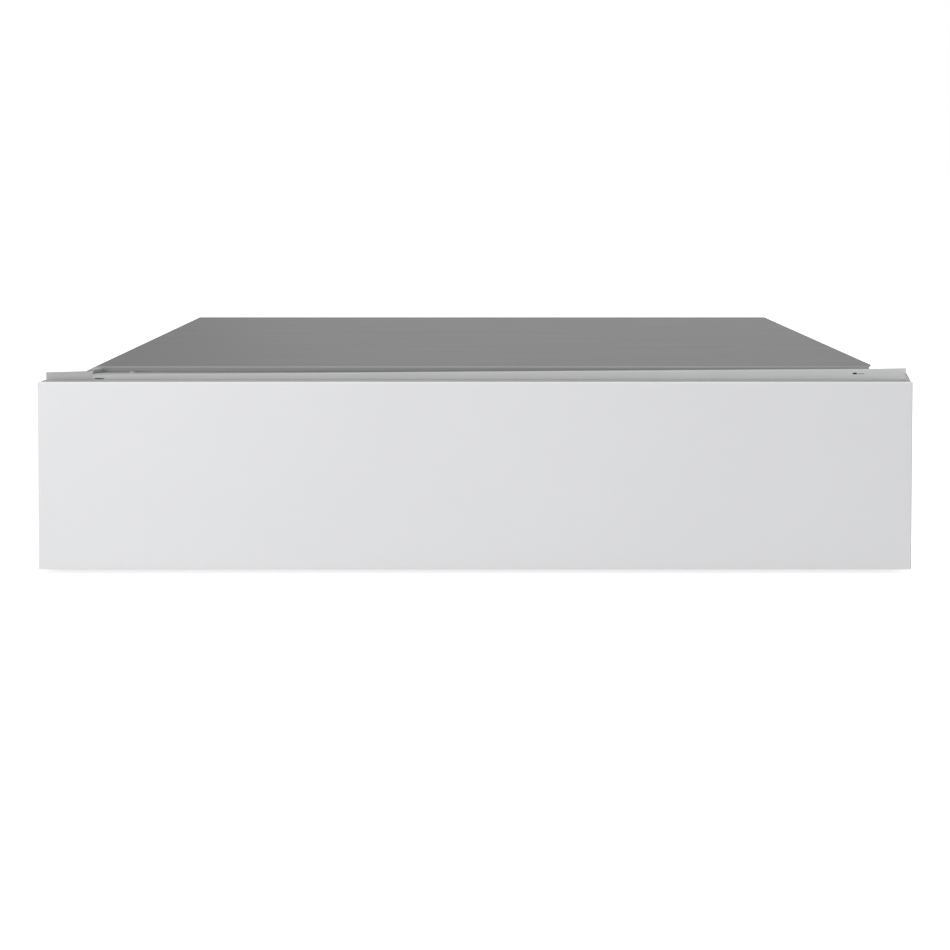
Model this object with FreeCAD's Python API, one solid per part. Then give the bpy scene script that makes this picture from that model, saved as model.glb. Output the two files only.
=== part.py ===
import FreeCAD, Part
import math
import os

# Vacuum sealing drawer for a 600 mm kitchen cabinet, closed, as it stands on its shelf.
# Millimetres. +X is right, -Y is the front that faces the room, +Z is up.
# The origin is the middle of the footprint, on the surface under the feet.
# Pairs in brackets are (low, high) along one axis.

# Overall
FRONT_WIDTH = 595.0
FRONT_FACE_Y = -273.0
REAR_Y = 273.0
TOP_Z = 138.5
SHEET = 1.0
TOUCH = 0.05                    # radial room round a shank that sits in its own hole

# Front
GLASS = (FRONT_FACE_Y, FRONT_FACE_Y + 4.0)
SEAM = (GLASS[1], GLASS[1] + 2.0)
TRAY = (SEAM[1], -254.0)
TRAY_BEND = 3.0
CHEEK_Z = (110.0, 135.6)        # foot and highest point of the small cheek at the tray's right end
FRONT_Z = (3.0, 131.3)
SEAM_WIDTH = 12.0
TRAY_INSET = 1.5                # of the tray from the pane's side edges

# Housing, which sits a little right of the middle of the front
HOUSING_X = 7.0
COVER_HALF = 272.7
WALL_HALF = COVER_HALF - SHEET  # to the outer face of a side wall
INNER_HALF = WALL_HALF - SHEET  # to the inner face of a side wall
COVER_FRONT_Y = -237.0
COVER_Z = (TOP_Z - SHEET, TOP_Z)
COVER_LIP = 13.0
COVER_LIP_START_Y = -205.0
CORNER_CUT = (5.0, 17.0)        # width and depth of the cover's cut front corner
EAR = (-252.0, -251.0)
EAR_END_X = {-1: -296.0, 1: 297.5}
EAR_TOP_Z = {-1: (136.0, 136.8), 1: (138.8, 138.4)}     # at the outer end and at the wall
WALL_FRONT_TOP_Z = {-1: 136.8, 1: 136.0}                # of the short wall piece behind an ear
GUSSET_X = (-268.4, -265.6, -259.0)     # corners of the left gusset: at the ear, cover corner, cover edge
GUSSET_Z = (136.8, 138.4, 137.2)
EAR_HOLE_X = 287.0
EAR_HOLE_Z = (30.0, 110.0)
EAR_HOLE_R = 2.25
FLANGE = 12.0                   # folded flanges of the walls and drawer sides
PAN_Z = (2.0, 3.0)
PAN_RIM_Z = 18.0
REAR_WALL = (271.0, 272.0)
CROSSBAR_FOOT_Z = 130.2
CROSSBAR_TOP_Z = (134.6, 138.4)     # its face stands higher at the right
CROSSBAR_EDGE_R = 0.8
LEDGE_Z = (133.6, 134.6)
CROSSBAR_FOLD_Y = COVER_FRONT_Y + SHEET     # the crossbar's upright fold stands behind the cover's lip
FRONT_LIP_Z = LEDGE_Z[1] + 0.2      # foot of the cover's front lip
LIP_INSET = 3.0                 # of the cover's front lip and the fold, from the walls' inner faces
FLANGE_FRONT_Y = COVER_FRONT_Y + 2.5

# Fasteners
SCREW_R = 2.0
RUNNER_SCREW_Y = (-200.0, -20.0, 160.0)
COVER_SCREW_Y = (-150.0, 20.0, 190.0)
COVER_SCREW_Z = 130.0
DECK_SCREW_Y = (-232.0, -140.0, -40.0, 38.0)
RIVET_R = 1.2
RIVET_X = (HOUSING_X - 245.0, HOUSING_X + 245.0)
RIVET_Y = -243.5
RIVET_TAB = 32.0
HOOK_SLOT_X = ((-262.5, -257.0), (260.9, 263.4))
HOOK_SLOT_Z = ((131.2, 131.9), (134.7, 135.5))

# Feet, mains inlet and push latch
FOOT_R = 12.0
FOOT_X = (HOUSING_X - 245.0, HOUSING_X + 245.0)
FOOT_Y = (-225.0, 245.0)
INLET_X = (201.0, 229.0)
INLET_Z = (25.5, 46.5)
INLET_FRONT_Y = 250.0
SOCKET_Y = 256.0
LATCH_Z = 31.0
LATCH_Y = (246.0, 269.5)
PLUNGER_R = 4.0
PLUNGER_TIP_Y = 235.8

# Runners, measured inward from the wall (u) and up from their middle (w)
RUNNER_Y = (-240.0, 230.0)
RUNNER_Z = 50.0
RUNNER_DEPTH = 12.7
MEMBER = 1.2
OUTER_U, OUTER_HALF = (0.0, 8.7), 22.5
MIDDLE_U, MIDDLE_HALF = (2.2, 9.5), 16.5
INNER_U, INNER_MEMBER_HALF = (4.0, RUNNER_DEPTH), 10.5
OUTER_LIP = 4.0
MIDDLE_LIP = 3.7
OUTER_BALL_U = 5.0
INNER_BALL_U = 5.8
BALL_R = 2.3
CAGE_Y = (-120.0, 110.0)
BALLS_PER_ROW = 6

# Drawer box
SIDE_U = (RUNNER_DEPTH, RUNNER_DEPTH + 1.2)
SIDE_Z = (7.0, 87.0)
FLOOR_Z = (8.0, 9.0)
DRAWER_Y = (-253.0, 234.0)
DECK_Z = (87.0, 88.0)
BAY_FRONT_Y = 48.0
BAY_TOP_Z = 118.0

# Vacuum chamber, sealing bar and lift cylinders
CHAMBER_X = (-227.0, 123.0)
CHAMBER_Y = (-228.0, 6.0)
CHAMBER_MID_X = sum(CHAMBER_X) / 2
CHAMBER_FLOOR_Z = 15.5
CHAMBER_WALL = 1.5
CHAMBER_FLANGE = 10.0
CHAMBER_CORNER_R = 30.0
CHAMBER_FOOT_R = 14.0
FLANGE_Z = (88.0, 89.5)
STUB_X = (-20.0, 60.0)
STUB_Z = 60.0
STUB_END_Y = 20.0
BAR_Y = -202.0
BAR_Z = (70.0, 81.5)
TAPE_THICK = 0.5
PIN_X = (CHAMBER_MID_X - 110.0, CHAMBER_MID_X + 110.0)
PIN_R = 4.0
PIN_FOOT_Z = 42.0
CYLINDER_TOP_Z = 60.0
CYLINDER_R = 12.0

# Lid and hinge
LID_X = (-240.0, 136.0)
LID_Y = (-250.0, 20.0)
LID_Z = (93.0, 101.0)
SEAL_TOP_Z = LID_Z[0] - 0.3
HINGE_X = (-192.0, 88.0)
HINGE_Y = 30.0
HINGE_Z = 97.0
HINGE_SHAFT_R = 3.0
KNUCKLE_R = 7.0
ARM_HALF = 18.0
LUG = (0.5, 4.5)                # near and far face of a lug, outward from the arm

# Touch panel and port
PANEL_X = (156.0, 252.0)
PANEL_Y = (-244.0, -52.0)
PANEL_THICK = 2.5
FLEX_SLOT_X = (190.0, 220.0)
PORT = (204.0, 0.0)
PORT_BORE_R = 3.2
PORT_TAIL_R = 7.0
PORT_TAIL_Z = 60.0
SPIGOT_R = 6.0
CAP_R = 11.0
CAP_HEIGHT = 9.0

# Vacuum pump
PUMP_Y = 140.0
PUMP_Z = 65.0
PUMP_SHAFT_R = 5.0
MOTOR_X = (-215.0, -95.0)
MOTOR_R = 36.0
HEAD_X = (-95.0, -25.0)
HEAD_TOP_Z = 105.0
INLET_STUB = (-60.0, 90.0, 70.0)
MOUNT_TOP_Z = 21.0
MOUNT_R = 9.0
IMPELLER_X = (-233.0, -218.0)
FILTER_X = 15.0

# Valves, hoses and supply
STUB_R = 6.0
HOSE_R = 5.0
VALVE_X = (78.0, 112.0)
VALVE_Y = (90.0, 118.0)
VALVE_STUB = (VALVE_X[0], 80.0, 24.0)
BOARD_X = (135.0, 252.0)
BOARD_Y = (62.0, 142.0)
BOARD_Z = (20.0, 21.6)
HEAT_SINK_X = 216.0
HEAT_SINK_Y = (72.0, 132.0)
CORE_X = (135.0, 205.0)
CORE_Y = (160.0, 210.0)
CORE_TOP_Z = 72.0


# Helpers

def slab(x, y, z):
    """Box between three (low, high) pairs."""
    corner = FreeCAD.Vector(x[0], y[0], z[0])
    return Part.makeBox(x[1] - x[0], y[1] - y[0], z[1] - z[0], corner)


def rod(start, direction, length, radius):
    """Cylinder from a start point along a direction."""
    return Part.makeCylinder(radius, length, FreeCAD.Vector(*start), FreeCAD.Vector(*direction))


def joined(pieces):
    """One solid out of touching or overlapping pieces."""
    return pieces[0].fuse(pieces[1:]).removeSplitter()


def without(shape, cutters):
    """Shape with all the cutters taken out."""
    return shape.cut(cutters).removeSplitter()


def group(pieces):
    """Separate solids that share one node."""
    return Part.makeCompound(pieces)


def grown(pair, amount):
    """A (low, high) pair made larger at both ends."""
    return (pair[0] - amount, pair[1] + amount)


def span(centre, half):
    """The (low, high) pair about a centre."""
    return (centre - half, centre + half)


def across(side, near, far):
    """X pair between two depths measured inward from the inner face of one side wall."""
    ends = (HOUSING_X + side * (INNER_HALF - near), HOUSING_X + side * (INNER_HALF - far))
    return (min(ends), max(ends))


def rounded_block(x, y, z, radius):
    """Upright block whose four vertical edges are round."""
    centres = [(x[1] - radius, y[1] - radius), (x[0] + radius, y[1] - radius),
               (x[0] + radius, y[0] + radius), (x[1] - radius, y[0] + radius)]
    edges = []
    previous_end = None
    first_start = None
    for quarter, (centre_x, centre_y) in enumerate(centres):
        points = []
        for step in range(3):
            angle = (quarter + step / 2) * math.pi / 2
            points.append(FreeCAD.Vector(centre_x + radius * math.cos(angle),
                                         centre_y + radius * math.sin(angle), z[0]))
        if previous_end is None:
            first_start = points[0]
        else:
            edges.append(Part.LineSegment(previous_end, points[0]).toShape())
        edges.append(Part.Arc(*points).toShape())
        previous_end = points[2]
    edges.append(Part.LineSegment(previous_end, first_start).toShape())
    return Part.Face(Part.Wire(edges)).extrude(FreeCAD.Vector(0, 0, z[1] - z[0]))


def edges_at(shape, z):
    """Edges that lie wholly at one height."""
    return [edge for edge in shape.Edges
            if all(abs(vertex.Z - z) < 1e-6 for vertex in edge.Vertexes)]


def edges_at_depth(shape, y):
    """Edges that lie wholly at one depth."""
    return [edge for edge in shape.Edges
            if all(abs(vertex.Y - y) < 1e-6 for vertex in edge.Vertexes)]


def ring(x, y, z, radius, width):
    """Rounded frame of one width round the outside of a rounded rectangle."""
    outer = rounded_block(grown(x, width), grown(y, width), z, radius + width)
    return outer.cut(rounded_block(x, y, z, radius))


def slots(x_start, pitch, count, length, y, z):
    """Row of slots along X, for cutting vents."""
    return [slab((x_start + index * pitch, x_start + index * pitch + length), y, z)
            for index in range(count)]


def hose(points, radius):
    """Round hose along straight runs joined by tangent arcs."""
    corners = [FreeCAD.Vector(*point) for point in points]
    edges = []
    start = corners[0]
    for before, corner, after in zip(corners, corners[1:], corners[2:]):
        run_in = corner.sub(before)
        run_out = after.sub(corner)
        half_turn = run_in.getAngle(run_out) / 2
        setback = 0.45 * min(run_in.Length, run_out.Length)
        bend = setback / math.tan(half_turn)
        run_in.normalize()
        run_out.normalize()
        arc_start = corner.sub(run_in * setback)
        arc_end = corner.add(run_out * setback)
        inward = run_out.sub(run_in)
        inward.normalize()
        centre = corner.add(inward * (bend / math.cos(half_turn)))
        middle = centre.sub(inward * bend)
        edges.append(Part.LineSegment(start, arc_start).toShape())
        edges.append(Part.Arc(arc_start, middle, arc_end).toShape())
        start = arc_end
        print("hose bend radius", round(bend, 1))
    edges.append(Part.LineSegment(start, corners[-1]).toShape())
    path = Part.Wire(edges)
    first_run = corners[1].sub(corners[0])
    profile = Part.Wire([Part.makeCircle(radius, corners[0], first_run)])
    solid = path.makePipeShell([profile], True, False)
    print("hose volume over section times length",
          round(solid.Volume / (math.pi * radius ** 2 * path.Length), 4))
    return solid


def button_screw(head_at, outward, shank, radius=2.0):
    """Low button-head screw; outward points from the surface to the head."""
    head_height = 1.8
    head_r = 1.9 * radius
    head = rod(head_at, outward, head_height, head_r)
    top = [edge for edge in head.Edges if abs(edge.Length - 2 * math.pi * head_r) < 1e-6]
    far = max(top, key=lambda edge: edge.CenterOfMass.dot(FreeCAD.Vector(*outward)))
    head = head.makeFillet(1.2, [far])
    inward = tuple(-value for value in outward)
    socket_at = tuple(point + head_height * value for point, value in zip(head_at, outward))
    socket = rod(socket_at, inward, 1.1, 0.62 * radius)
    return joined([head, rod(head_at, inward, shank, radius)]).cut(socket)


# Housing

def base_pan():
    """Floor of the housing with low upturned edges."""
    across_housing = span(HOUSING_X, INNER_HALF)
    rim_z = (PAN_Z[1], PAN_RIM_Z)
    pieces = [slab(across_housing, (EAR[1], REAR_WALL[0]), PAN_Z)]
    for side in (-1, 1):
        pieces.append(slab(across(side, 0, SHEET), (EAR[1], 269.5), rim_z))
    pieces.append(slab(across_housing, (270.0, REAR_WALL[0]), rim_z))
    pieces.append(slab(across_housing, (EAR[1], EAR[1] + SHEET), (PAN_Z[1], 6.0)))
    return joined(pieces)


def side_wall(side):
    """Housing wall with its ear, its top and rear flanges and the tab under the crossbar's ledge."""
    wall_x = across(side, -SHEET, 0)
    top_z = COVER_Z[0]
    flange_z = (top_z - SHEET, top_z)
    pieces = [
        slab(wall_x, (EAR[0], COVER_FRONT_Y), (PAN_Z[0], WALL_FRONT_TOP_Z[side])),
        slab(wall_x, (COVER_FRONT_Y, REAR_WALL[1]), (PAN_Z[0], top_z)),
        ear(side),
        slab(across(side, 0, FLANGE), (FLANGE_FRONT_Y, REAR_WALL[0]), flange_z),
        slab(across(side, 0, FLANGE), (REAR_WALL[0] - SHEET, REAR_WALL[0]), (PAN_RIM_Z + 1, top_z)),
        slab(across(side, 0, RIVET_TAB), (EAR[1], COVER_FRONT_Y), (LEDGE_Z[0] - SHEET, LEDGE_Z[0])),
    ]
    cutters = rivet_holes()
    if side < 0:
        pieces.append(left_gusset())
    else:
        cutters.append(corner_notch())
    cutters += [rod((side * EAR_HOLE_X, EAR[0] - 1, z), (0, 1, 0), 3, EAR_HOLE_R) for z in EAR_HOLE_Z]
    cutters += [screw_hole(side, y, RUNNER_Z) for y in RUNNER_SCREW_Y]
    cutters += [screw_hole(side, y, COVER_SCREW_Z) for y in COVER_SCREW_Y]
    return without(joined(pieces), cutters)


def corner_notch():
    """Cutter that takes the right wall's top away under the cover's cut corner."""
    low, high = across(1, -2 * SHEET, CORNER_CUT[0])
    y = (COVER_FRONT_Y - 1, COVER_FRONT_Y + CORNER_CUT[1] + 1)
    return slab((low, high), y, (LEDGE_Z[1] + 0.2, COVER_Z[0] + 1))


def ear(side):
    """Screw ear that is turned out from the wall's front edge, with a slightly slanted top."""
    wall_face_x = HOUSING_X + side * INNER_HALF
    outer_top, inner_top = EAR_TOP_Z[side]
    return upright_sheet([(EAR_END_X[side], FRONT_Z[0]), (wall_face_x, FRONT_Z[0]),
                          (wall_face_x, inner_top), (EAR_END_X[side], outer_top)])


def upright_sheet(corners):
    """Sheet that stands in the ears' plane, from the (x, z) corners of its outline."""
    outline = Part.makePolygon([FreeCAD.Vector(x, EAR[0], z) for x, z in corners + corners[:1]])
    return Part.Face(outline).extrude(FreeCAD.Vector(0, EAR[1] - EAR[0], 0))


def left_gusset():
    """Small slanted block that rises from the left ear to the cover's front corner."""
    corners = list(zip(GUSSET_X, (EAR[1], COVER_FRONT_Y, COVER_FRONT_Y), GUSSET_Z))
    outline = Part.makePolygon([FreeCAD.Vector(*corner) for corner in corners + corners[:1]])
    return Part.Face(outline).extrude(FreeCAD.Vector(0, 0, LEDGE_Z[1] - GUSSET_Z[0]))


def screw_hole(side, y, z):
    """Cutter for one screw through a side wall."""
    low, high = across(side, -3 * SHEET, 2 * SHEET)
    return rod((low, y, z), (1, 0, 0), high - low, SCREW_R + TOUCH)


def rivet_holes():
    """Cutters for the rivets near the crossbar's ends."""
    low = LEDGE_Z[0] - 2 * SHEET
    return [rod((x, RIVET_Y, low), (0, 0, 1), 4 * SHEET, RIVET_R + TOUCH) for x in RIVET_X]


def rear_wall():
    """Rear panel with vent slots and the inlet's cut-out."""
    panel = slab(span(HOUSING_X, INNER_HALF), REAR_WALL, (PAN_Z[1], COVER_Z[0] - SHEET))
    depth = grown(REAR_WALL, 1)
    cutters = [slab(grown(INLET_X, 0.1), depth, grown(INLET_Z, 0.1))]
    for row in range(3):
        low = 92.0 + 12.0 * row
        cutters += slots(-206.0, 34.0, 12, 24.0, depth, (low, low + 4.0))
    return without(panel, cutters)


def top_cover():
    """Brushed cover: flat top, side and rear lips, a shallow front lip and one cut corner."""
    x = span(HOUSING_X, COVER_HALF)
    lip_z = (COVER_Z[0] - COVER_LIP, COVER_Z[0])
    lip_y = (COVER_LIP_START_Y, REAR_Y)
    pieces = [
        slab(x, (COVER_FRONT_Y, REAR_Y), COVER_Z),
        slab((x[0], x[0] + SHEET), lip_y, lip_z),
        slab((x[1] - SHEET, x[1]), lip_y, lip_z),
        slab(x, (REAR_Y - SHEET, REAR_Y), lip_z),
        slab(across_front(), (COVER_FRONT_Y, COVER_FRONT_Y + SHEET), (FRONT_LIP_Z, COVER_Z[0])),
    ]
    cover = joined(pieces)
    cover = cover.makeFillet(0.8, edges_at(cover, TOP_Z))
    cut_width, cut_depth = CORNER_CUT
    corner = [(x[1] - cut_width, COVER_FRONT_Y - 1), (x[1] - cut_width, COVER_FRONT_Y),
              (x[1], COVER_FRONT_Y + cut_depth), (x[1] + 2, COVER_FRONT_Y + cut_depth),
              (x[1] + 2, COVER_FRONT_Y - 1)]
    outline = Part.makePolygon([FreeCAD.Vector(px, py, COVER_Z[0] - 3) for px, py in corner + corner[:1]])
    cutters = [Part.Face(outline).extrude(FreeCAD.Vector(0, 0, 6))]
    for side in (-1, 1):
        cutters += [screw_hole(side, y, COVER_SCREW_Z) for y in COVER_SCREW_Y]
    return cover.cut(cutters)


def across_front():
    """Width of the cover's front lip and of the crossbar's fold behind it."""
    return grown(span(HOUSING_X, INNER_HALF), -LIP_INSET)


def front_crossbar():
    """Shallow rail across the top of the opening: face, ledge and a fold behind the cover's lip."""
    left, right = span(HOUSING_X, INNER_HALF)
    face = upright_sheet([(left, CROSSBAR_FOOT_Z), (right, CROSSBAR_FOOT_Z),
                          (right, CROSSBAR_TOP_Z[1]), (left, CROSSBAR_TOP_Z[0])])
    top_front = [edge for edge in edges_at_depth(face, EAR[0])
                 if edge.Length > INNER_HALF and edge.CenterOfMass.z > LEDGE_Z[1]]
    face = face.makeFillet(CROSSBAR_EDGE_R, top_front)
    fold_y = (CROSSBAR_FOLD_Y, CROSSBAR_FOLD_Y + SHEET)
    pieces = [
        face,
        slab((left, right), (EAR[1], fold_y[1]), LEDGE_Z),
        slab(across_front(), fold_y, (LEDGE_Z[0], COVER_Z[0])),
    ]
    hook_slots = [slab(x, grown(EAR, 0.5), z) for x, z in zip(HOOK_SLOT_X, HOOK_SLOT_Z)]
    return without(joined(pieces), rivet_holes() + hook_slots)


def crossbar_rivets():
    """Blind rivets that hold the crossbar's ledge to the walls' tabs."""
    head_height = 0.8
    rivets = []
    for x in RIVET_X:
        at = (x, RIVET_Y, LEDGE_Z[1])
        head = rod(at, (0, 0, 1), head_height, 2.0)
        shank = rod(at, (0, 0, -1), 2.4 * SHEET, RIVET_R)
        mandrel_hole = rod((at[0], at[1], at[2] + head_height), (0, 0, -1), 1.5, 0.6)
        rivets.append(joined([head, shank]).cut(mandrel_hole))
    return group(rivets)


def housing_screws():
    """Button screws of the fixed runners and of the cover's side lips, all alike."""
    screws = []
    for side in (-1, 1):
        for y in RUNNER_SCREW_Y:
            head_x = HOUSING_X + side * WALL_HALF
            screws.append(button_screw((head_x, y, RUNNER_Z), (side, 0, 0), SHEET + 1.2))
        for y in COVER_SCREW_Y:
            head_x = HOUSING_X + side * COVER_HALF
            screws.append(button_screw((head_x, y, COVER_SCREW_Z), (side, 0, 0), 4.0))
    return group(screws)


def rubber_feet():
    """Four flat glued feet under the pan."""
    feet = []
    for x in FOOT_X:
        for y in FOOT_Y:
            feet.append(rod((x, y, 0), (0, 0, 1), PAN_Z[0], FOOT_R))
    return group(feet)


def mains_inlet():
    """Three-pole appliance inlet, screwed behind the rear wall, with its pins."""
    centre_x = sum(INLET_X) / 2
    centre_z = sum(INLET_Z) / 2
    body = slab(INLET_X, (INLET_FRONT_Y, REAR_WALL[1]), INLET_Z)
    flange = slab(grown(INLET_X, 6), (REAR_WALL[0] - 2.5, REAR_WALL[0]), grown(INLET_Z, 2.5))
    cavity = slab(span(centre_x, 12), (SOCKET_Y, REAR_WALL[1]), span(centre_z, 8))
    shroud = joined([body, flange]).cut(cavity)
    pins = [slab(span(centre_x + offset, 1), (SOCKET_Y, SOCKET_Y + 12), span(centre_z + rise, 2))
            for offset, rise in ((0, 2), (-7, -2), (7, -2))]
    return group([shroud] + pins)


def latch_housing():
    """Push-to-open latch body on its bracket."""
    body = slab(span(HOUSING_X, 12), LATCH_Y, span(LATCH_Z, 9))
    bracket = slab(span(HOUSING_X, 12), (LATCH_Y[0] + 12, LATCH_Y[1]), (PAN_Z[1], LATCH_Z - 9))
    bore = rod((HOUSING_X, LATCH_Y[0], LATCH_Z), (0, 1, 0), 21.0, PLUNGER_R + 0.35)
    return joined([body, bracket]).cut(bore)


def latch_plunger():
    """Spring plunger that pushes the drawer open, with a rounded tip."""
    plunger = rod((HOUSING_X, PLUNGER_TIP_Y, LATCH_Z), (0, 1, 0), 28.0, PLUNGER_R)
    tip = [edge for edge in plunger.Edges if abs(edge.CenterOfMass.y - PLUNGER_TIP_Y) < 1e-6]
    return plunger.makeFillet(1.5, tip)


# Runners

def runner_strip(side, u, w):
    """One flat strip of a runner member, in depth and height about the runner's middle."""
    return slab(across(side, *u), RUNNER_Y, (RUNNER_Z + w[0], RUNNER_Z + w[1]))


def outer_rail(side):
    """Fixed runner member: web on the wall, flanges with turned-in lips."""
    strips = [runner_strip(side, (0, MEMBER), (-OUTER_HALF, OUTER_HALF))]
    for up in (-1, 1):
        flange = sorted((up * OUTER_HALF, up * (OUTER_HALF - MEMBER)))
        lip = sorted((up * OUTER_HALF, up * (OUTER_HALF - OUTER_LIP)))
        strips.append(runner_strip(side, OUTER_U, flange))
        strips.append(runner_strip(side, (OUTER_U[1] - MEMBER, OUTER_U[1]), lip))
    cutters = [screw_hole(side, y, RUNNER_Z) for y in RUNNER_SCREW_Y]
    return without(joined(strips), cutters)


def middle_rail(side):
    """Middle runner member, with a raceway above and below each flange."""
    strips = [runner_strip(side, (MIDDLE_U[0], MIDDLE_U[0] + MEMBER), (-MIDDLE_HALF, MIDDLE_HALF))]
    for up in (-1, 1):
        flange = sorted((up * MIDDLE_HALF, up * (MIDDLE_HALF - MEMBER)))
        lip = sorted((up * MIDDLE_HALF, up * (MIDDLE_HALF - MIDDLE_LIP)))
        strips.append(runner_strip(side, MIDDLE_U, flange))
        strips.append(runner_strip(side, (MIDDLE_U[1] - MEMBER, MIDDLE_U[1]), lip))
    return joined(strips)


def inner_rail(side):
    """Drawer runner member: web on the drawer side, flanges that ride on the inner balls."""
    strips = [runner_strip(side, (RUNNER_DEPTH - MEMBER, RUNNER_DEPTH),
                           (-INNER_MEMBER_HALF, INNER_MEMBER_HALF))]
    for up in (-1, 1):
        flange = sorted((up * INNER_MEMBER_HALF, up * (INNER_MEMBER_HALF - MEMBER)))
        strips.append(runner_strip(side, INNER_U, flange))
    return joined(strips)


def ball_cage(side, ball_u, ball_w):
    """Two cage strips, each with a row of steel balls in round pockets."""
    solids = []
    pitch = (CAGE_Y[1] - CAGE_Y[0]) / BALLS_PER_ROW
    ball_x = HOUSING_X + side * (INNER_HALF - ball_u)
    for up in (-1, 1):
        z = RUNNER_Z + up * ball_w
        strip = slab(across(side, ball_u - 1.4, ball_u + 1.4), CAGE_Y, span(z, 0.4))
        centres = [(ball_x, CAGE_Y[0] + pitch * (index + 0.5), z) for index in range(BALLS_PER_ROW)]
        pockets = [rod((x, y, z - 1), (0, 0, 1), 2, BALL_R + 0.1) for x, y, z in centres]
        solids.append(strip.cut(pockets))
        solids += [Part.makeSphere(BALL_R, FreeCAD.Vector(*centre)) for centre in centres]
    return group(solids)


def outer_ball_cage(side):
    """Balls between the fixed and the middle member."""
    return ball_cage(side, OUTER_BALL_U, (OUTER_HALF - MEMBER + MIDDLE_HALF) / 2)


def inner_ball_cage(side):
    """Balls between the middle and the drawer member."""
    return ball_cage(side, INNER_BALL_U, (MIDDLE_HALF - MEMBER + INNER_MEMBER_HALF) / 2)


# Drawer front

def front_glass():
    """White back-painted pane with a fine ground arris round its face."""
    pane = slab(span(0, FRONT_WIDTH / 2), GLASS, FRONT_Z)
    return pane.makeChamfer(0.7, edges_at_depth(pane, FRONT_FACE_Y))


def glue_seam():
    """Dark bonding frame between the pane and the carrier."""
    half = FRONT_WIDTH / 2 - 0.8
    z = (FRONT_Z[0] + 0.8, FRONT_Z[1] - 0.5)
    frame = slab(span(0, half), SEAM, z)
    return frame.cut(slab(span(0, half - SEAM_WIDTH), SEAM, grown(z, -SEAM_WIDTH)))


def front_tray():
    """Folded carrier behind the pane, open to the front, with round bends and a cheek at its right end."""
    half = FRONT_WIDTH / 2 - TRAY_INSET
    z = (FRONT_Z[0] + 1.0, FRONT_Z[1])
    shell = slab(span(0, half), TRAY, z)
    shell = shell.makeFillet(TRAY_BEND, edges_at_depth(shell, TRAY[1]))
    hollow_back_y = TRAY[1] - SHEET
    hollow = slab(span(0, half - SHEET), (TRAY[0], hollow_back_y), grown(z, -SHEET))
    hollow = hollow.makeFillet(TRAY_BEND - SHEET, edges_at_depth(hollow, hollow_back_y))
    foot_z, top_z = CHEEK_Z
    corners = [(TRAY[0], foot_z), (TRAY[1] - TRAY_BEND, foot_z), (TRAY[1], foot_z + TRAY_BEND),
               (TRAY[1], top_z), (TRAY[0], FRONT_Z[1])]
    outline = Part.makePolygon([FreeCAD.Vector(half, y, z) for y, z in corners + corners[:1]])
    cheek = Part.Face(outline).extrude(FreeCAD.Vector(TRAY_INSET - 0.1, 0, 0))
    return joined([shell.cut(hollow), cheek])


# Drawer box

def drawer_side(side):
    """Side of the drawer box, a channel with a flange on the front tray."""
    u = SIDE_U
    pieces = [
        slab(across(side, *u), DRAWER_Y, SIDE_Z),
        slab(across(side, u[1], u[1] + FLANGE), DRAWER_Y, (SIDE_Z[1] - SHEET, SIDE_Z[1])),
        slab(across(side, u[1], u[1] + FLANGE), DRAWER_Y, (SIDE_Z[0], FLOOR_Z[0])),
        slab(across(side, u[0], u[1] + FLANGE), (TRAY[1], DRAWER_Y[0]), SIDE_Z),
    ]
    cutters = [rod((x, y, DECK_Z[0] - 3), (0, 0, 1), 6, SCREW_R + TOUCH)
               for x, y in deck_screw_places() if (x - HOUSING_X) * side > 0]
    return without(joined(pieces), cutters)


def deck_screw_places():
    """Screw places along both edges of the deck."""
    places = []
    for side in (-1, 1):
        x = sum(across(side, SIDE_U[1] + 5, SIDE_U[1] + 7)) / 2
        places += [(x, y) for y in DECK_SCREW_Y]
    return places


def box_x():
    """Outer width of the drawer box."""
    return (across(-1, *SIDE_U)[0], across(1, *SIDE_U)[1])


def drawer_floor():
    """Floor sheet that lies on the sides' lower flanges."""
    x = grown(box_x(), -(SIDE_U[1] - SIDE_U[0]))
    floor = slab(x, DRAWER_Y, FLOOR_Z)
    vents = slots(-190.0, 30.0, 5, 20.0, (190.0, 194.0), grown(FLOOR_Z, 1))
    vents += slots(-190.0, 30.0, 5, 20.0, (202.0, 206.0), grown(FLOOR_Z, 1))
    return without(floor, vents)


def drawer_back():
    """Back sheet of the drawer box, with the pump's exhaust slots."""
    back = slab(box_x(), (DRAWER_Y[1], DRAWER_Y[1] + SHEET), SIDE_Z)
    depth = (DRAWER_Y[1] - 1, DRAWER_Y[1] + 2)
    cutters = slots(-230.0, 30.0, 5, 20.0, depth, (55.0, 59.0))
    cutters += slots(-230.0, 30.0, 5, 20.0, depth, (67.0, 71.0))
    return without(back, cutters)


def deck_plate():
    """Brushed deck round the chamber, with a folded front edge."""
    deck = slab(box_x(), (TRAY[1], BAY_FRONT_Y + SHEET), DECK_Z)
    fold = slab((-220.0, 234.0), (TRAY[1], DRAWER_Y[0]), (DECK_Z[0] - 10, DECK_Z[0]))
    room = CHAMBER_WALL + 0.5
    chamber_hole = rounded_block(grown(CHAMBER_X, room), grown(CHAMBER_Y, room),
                                 grown(DECK_Z, 1), CHAMBER_CORNER_R + room)
    port_hole = rod((PORT[0], PORT[1], DECK_Z[0] - 1), (0, 0, 1), 3, PORT_TAIL_R + TOUCH)
    flex_hole = slab(FLEX_SLOT_X, (-150.0, -142.0), grown(DECK_Z, 1))
    screw_holes = [rod((x, y, DECK_Z[0] - 1), (0, 0, 1), 3, SCREW_R + TOUCH)
                   for x, y in deck_screw_places()]
    return without(joined([deck, fold]), [chamber_hole, port_hole, flex_hole] + screw_holes)


def deck_screws():
    """Button screws along the deck's edges, all alike."""
    return group([button_screw((x, y, DECK_Z[1]), (0, 0, 1), 4.0) for x, y in deck_screw_places()])


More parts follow.
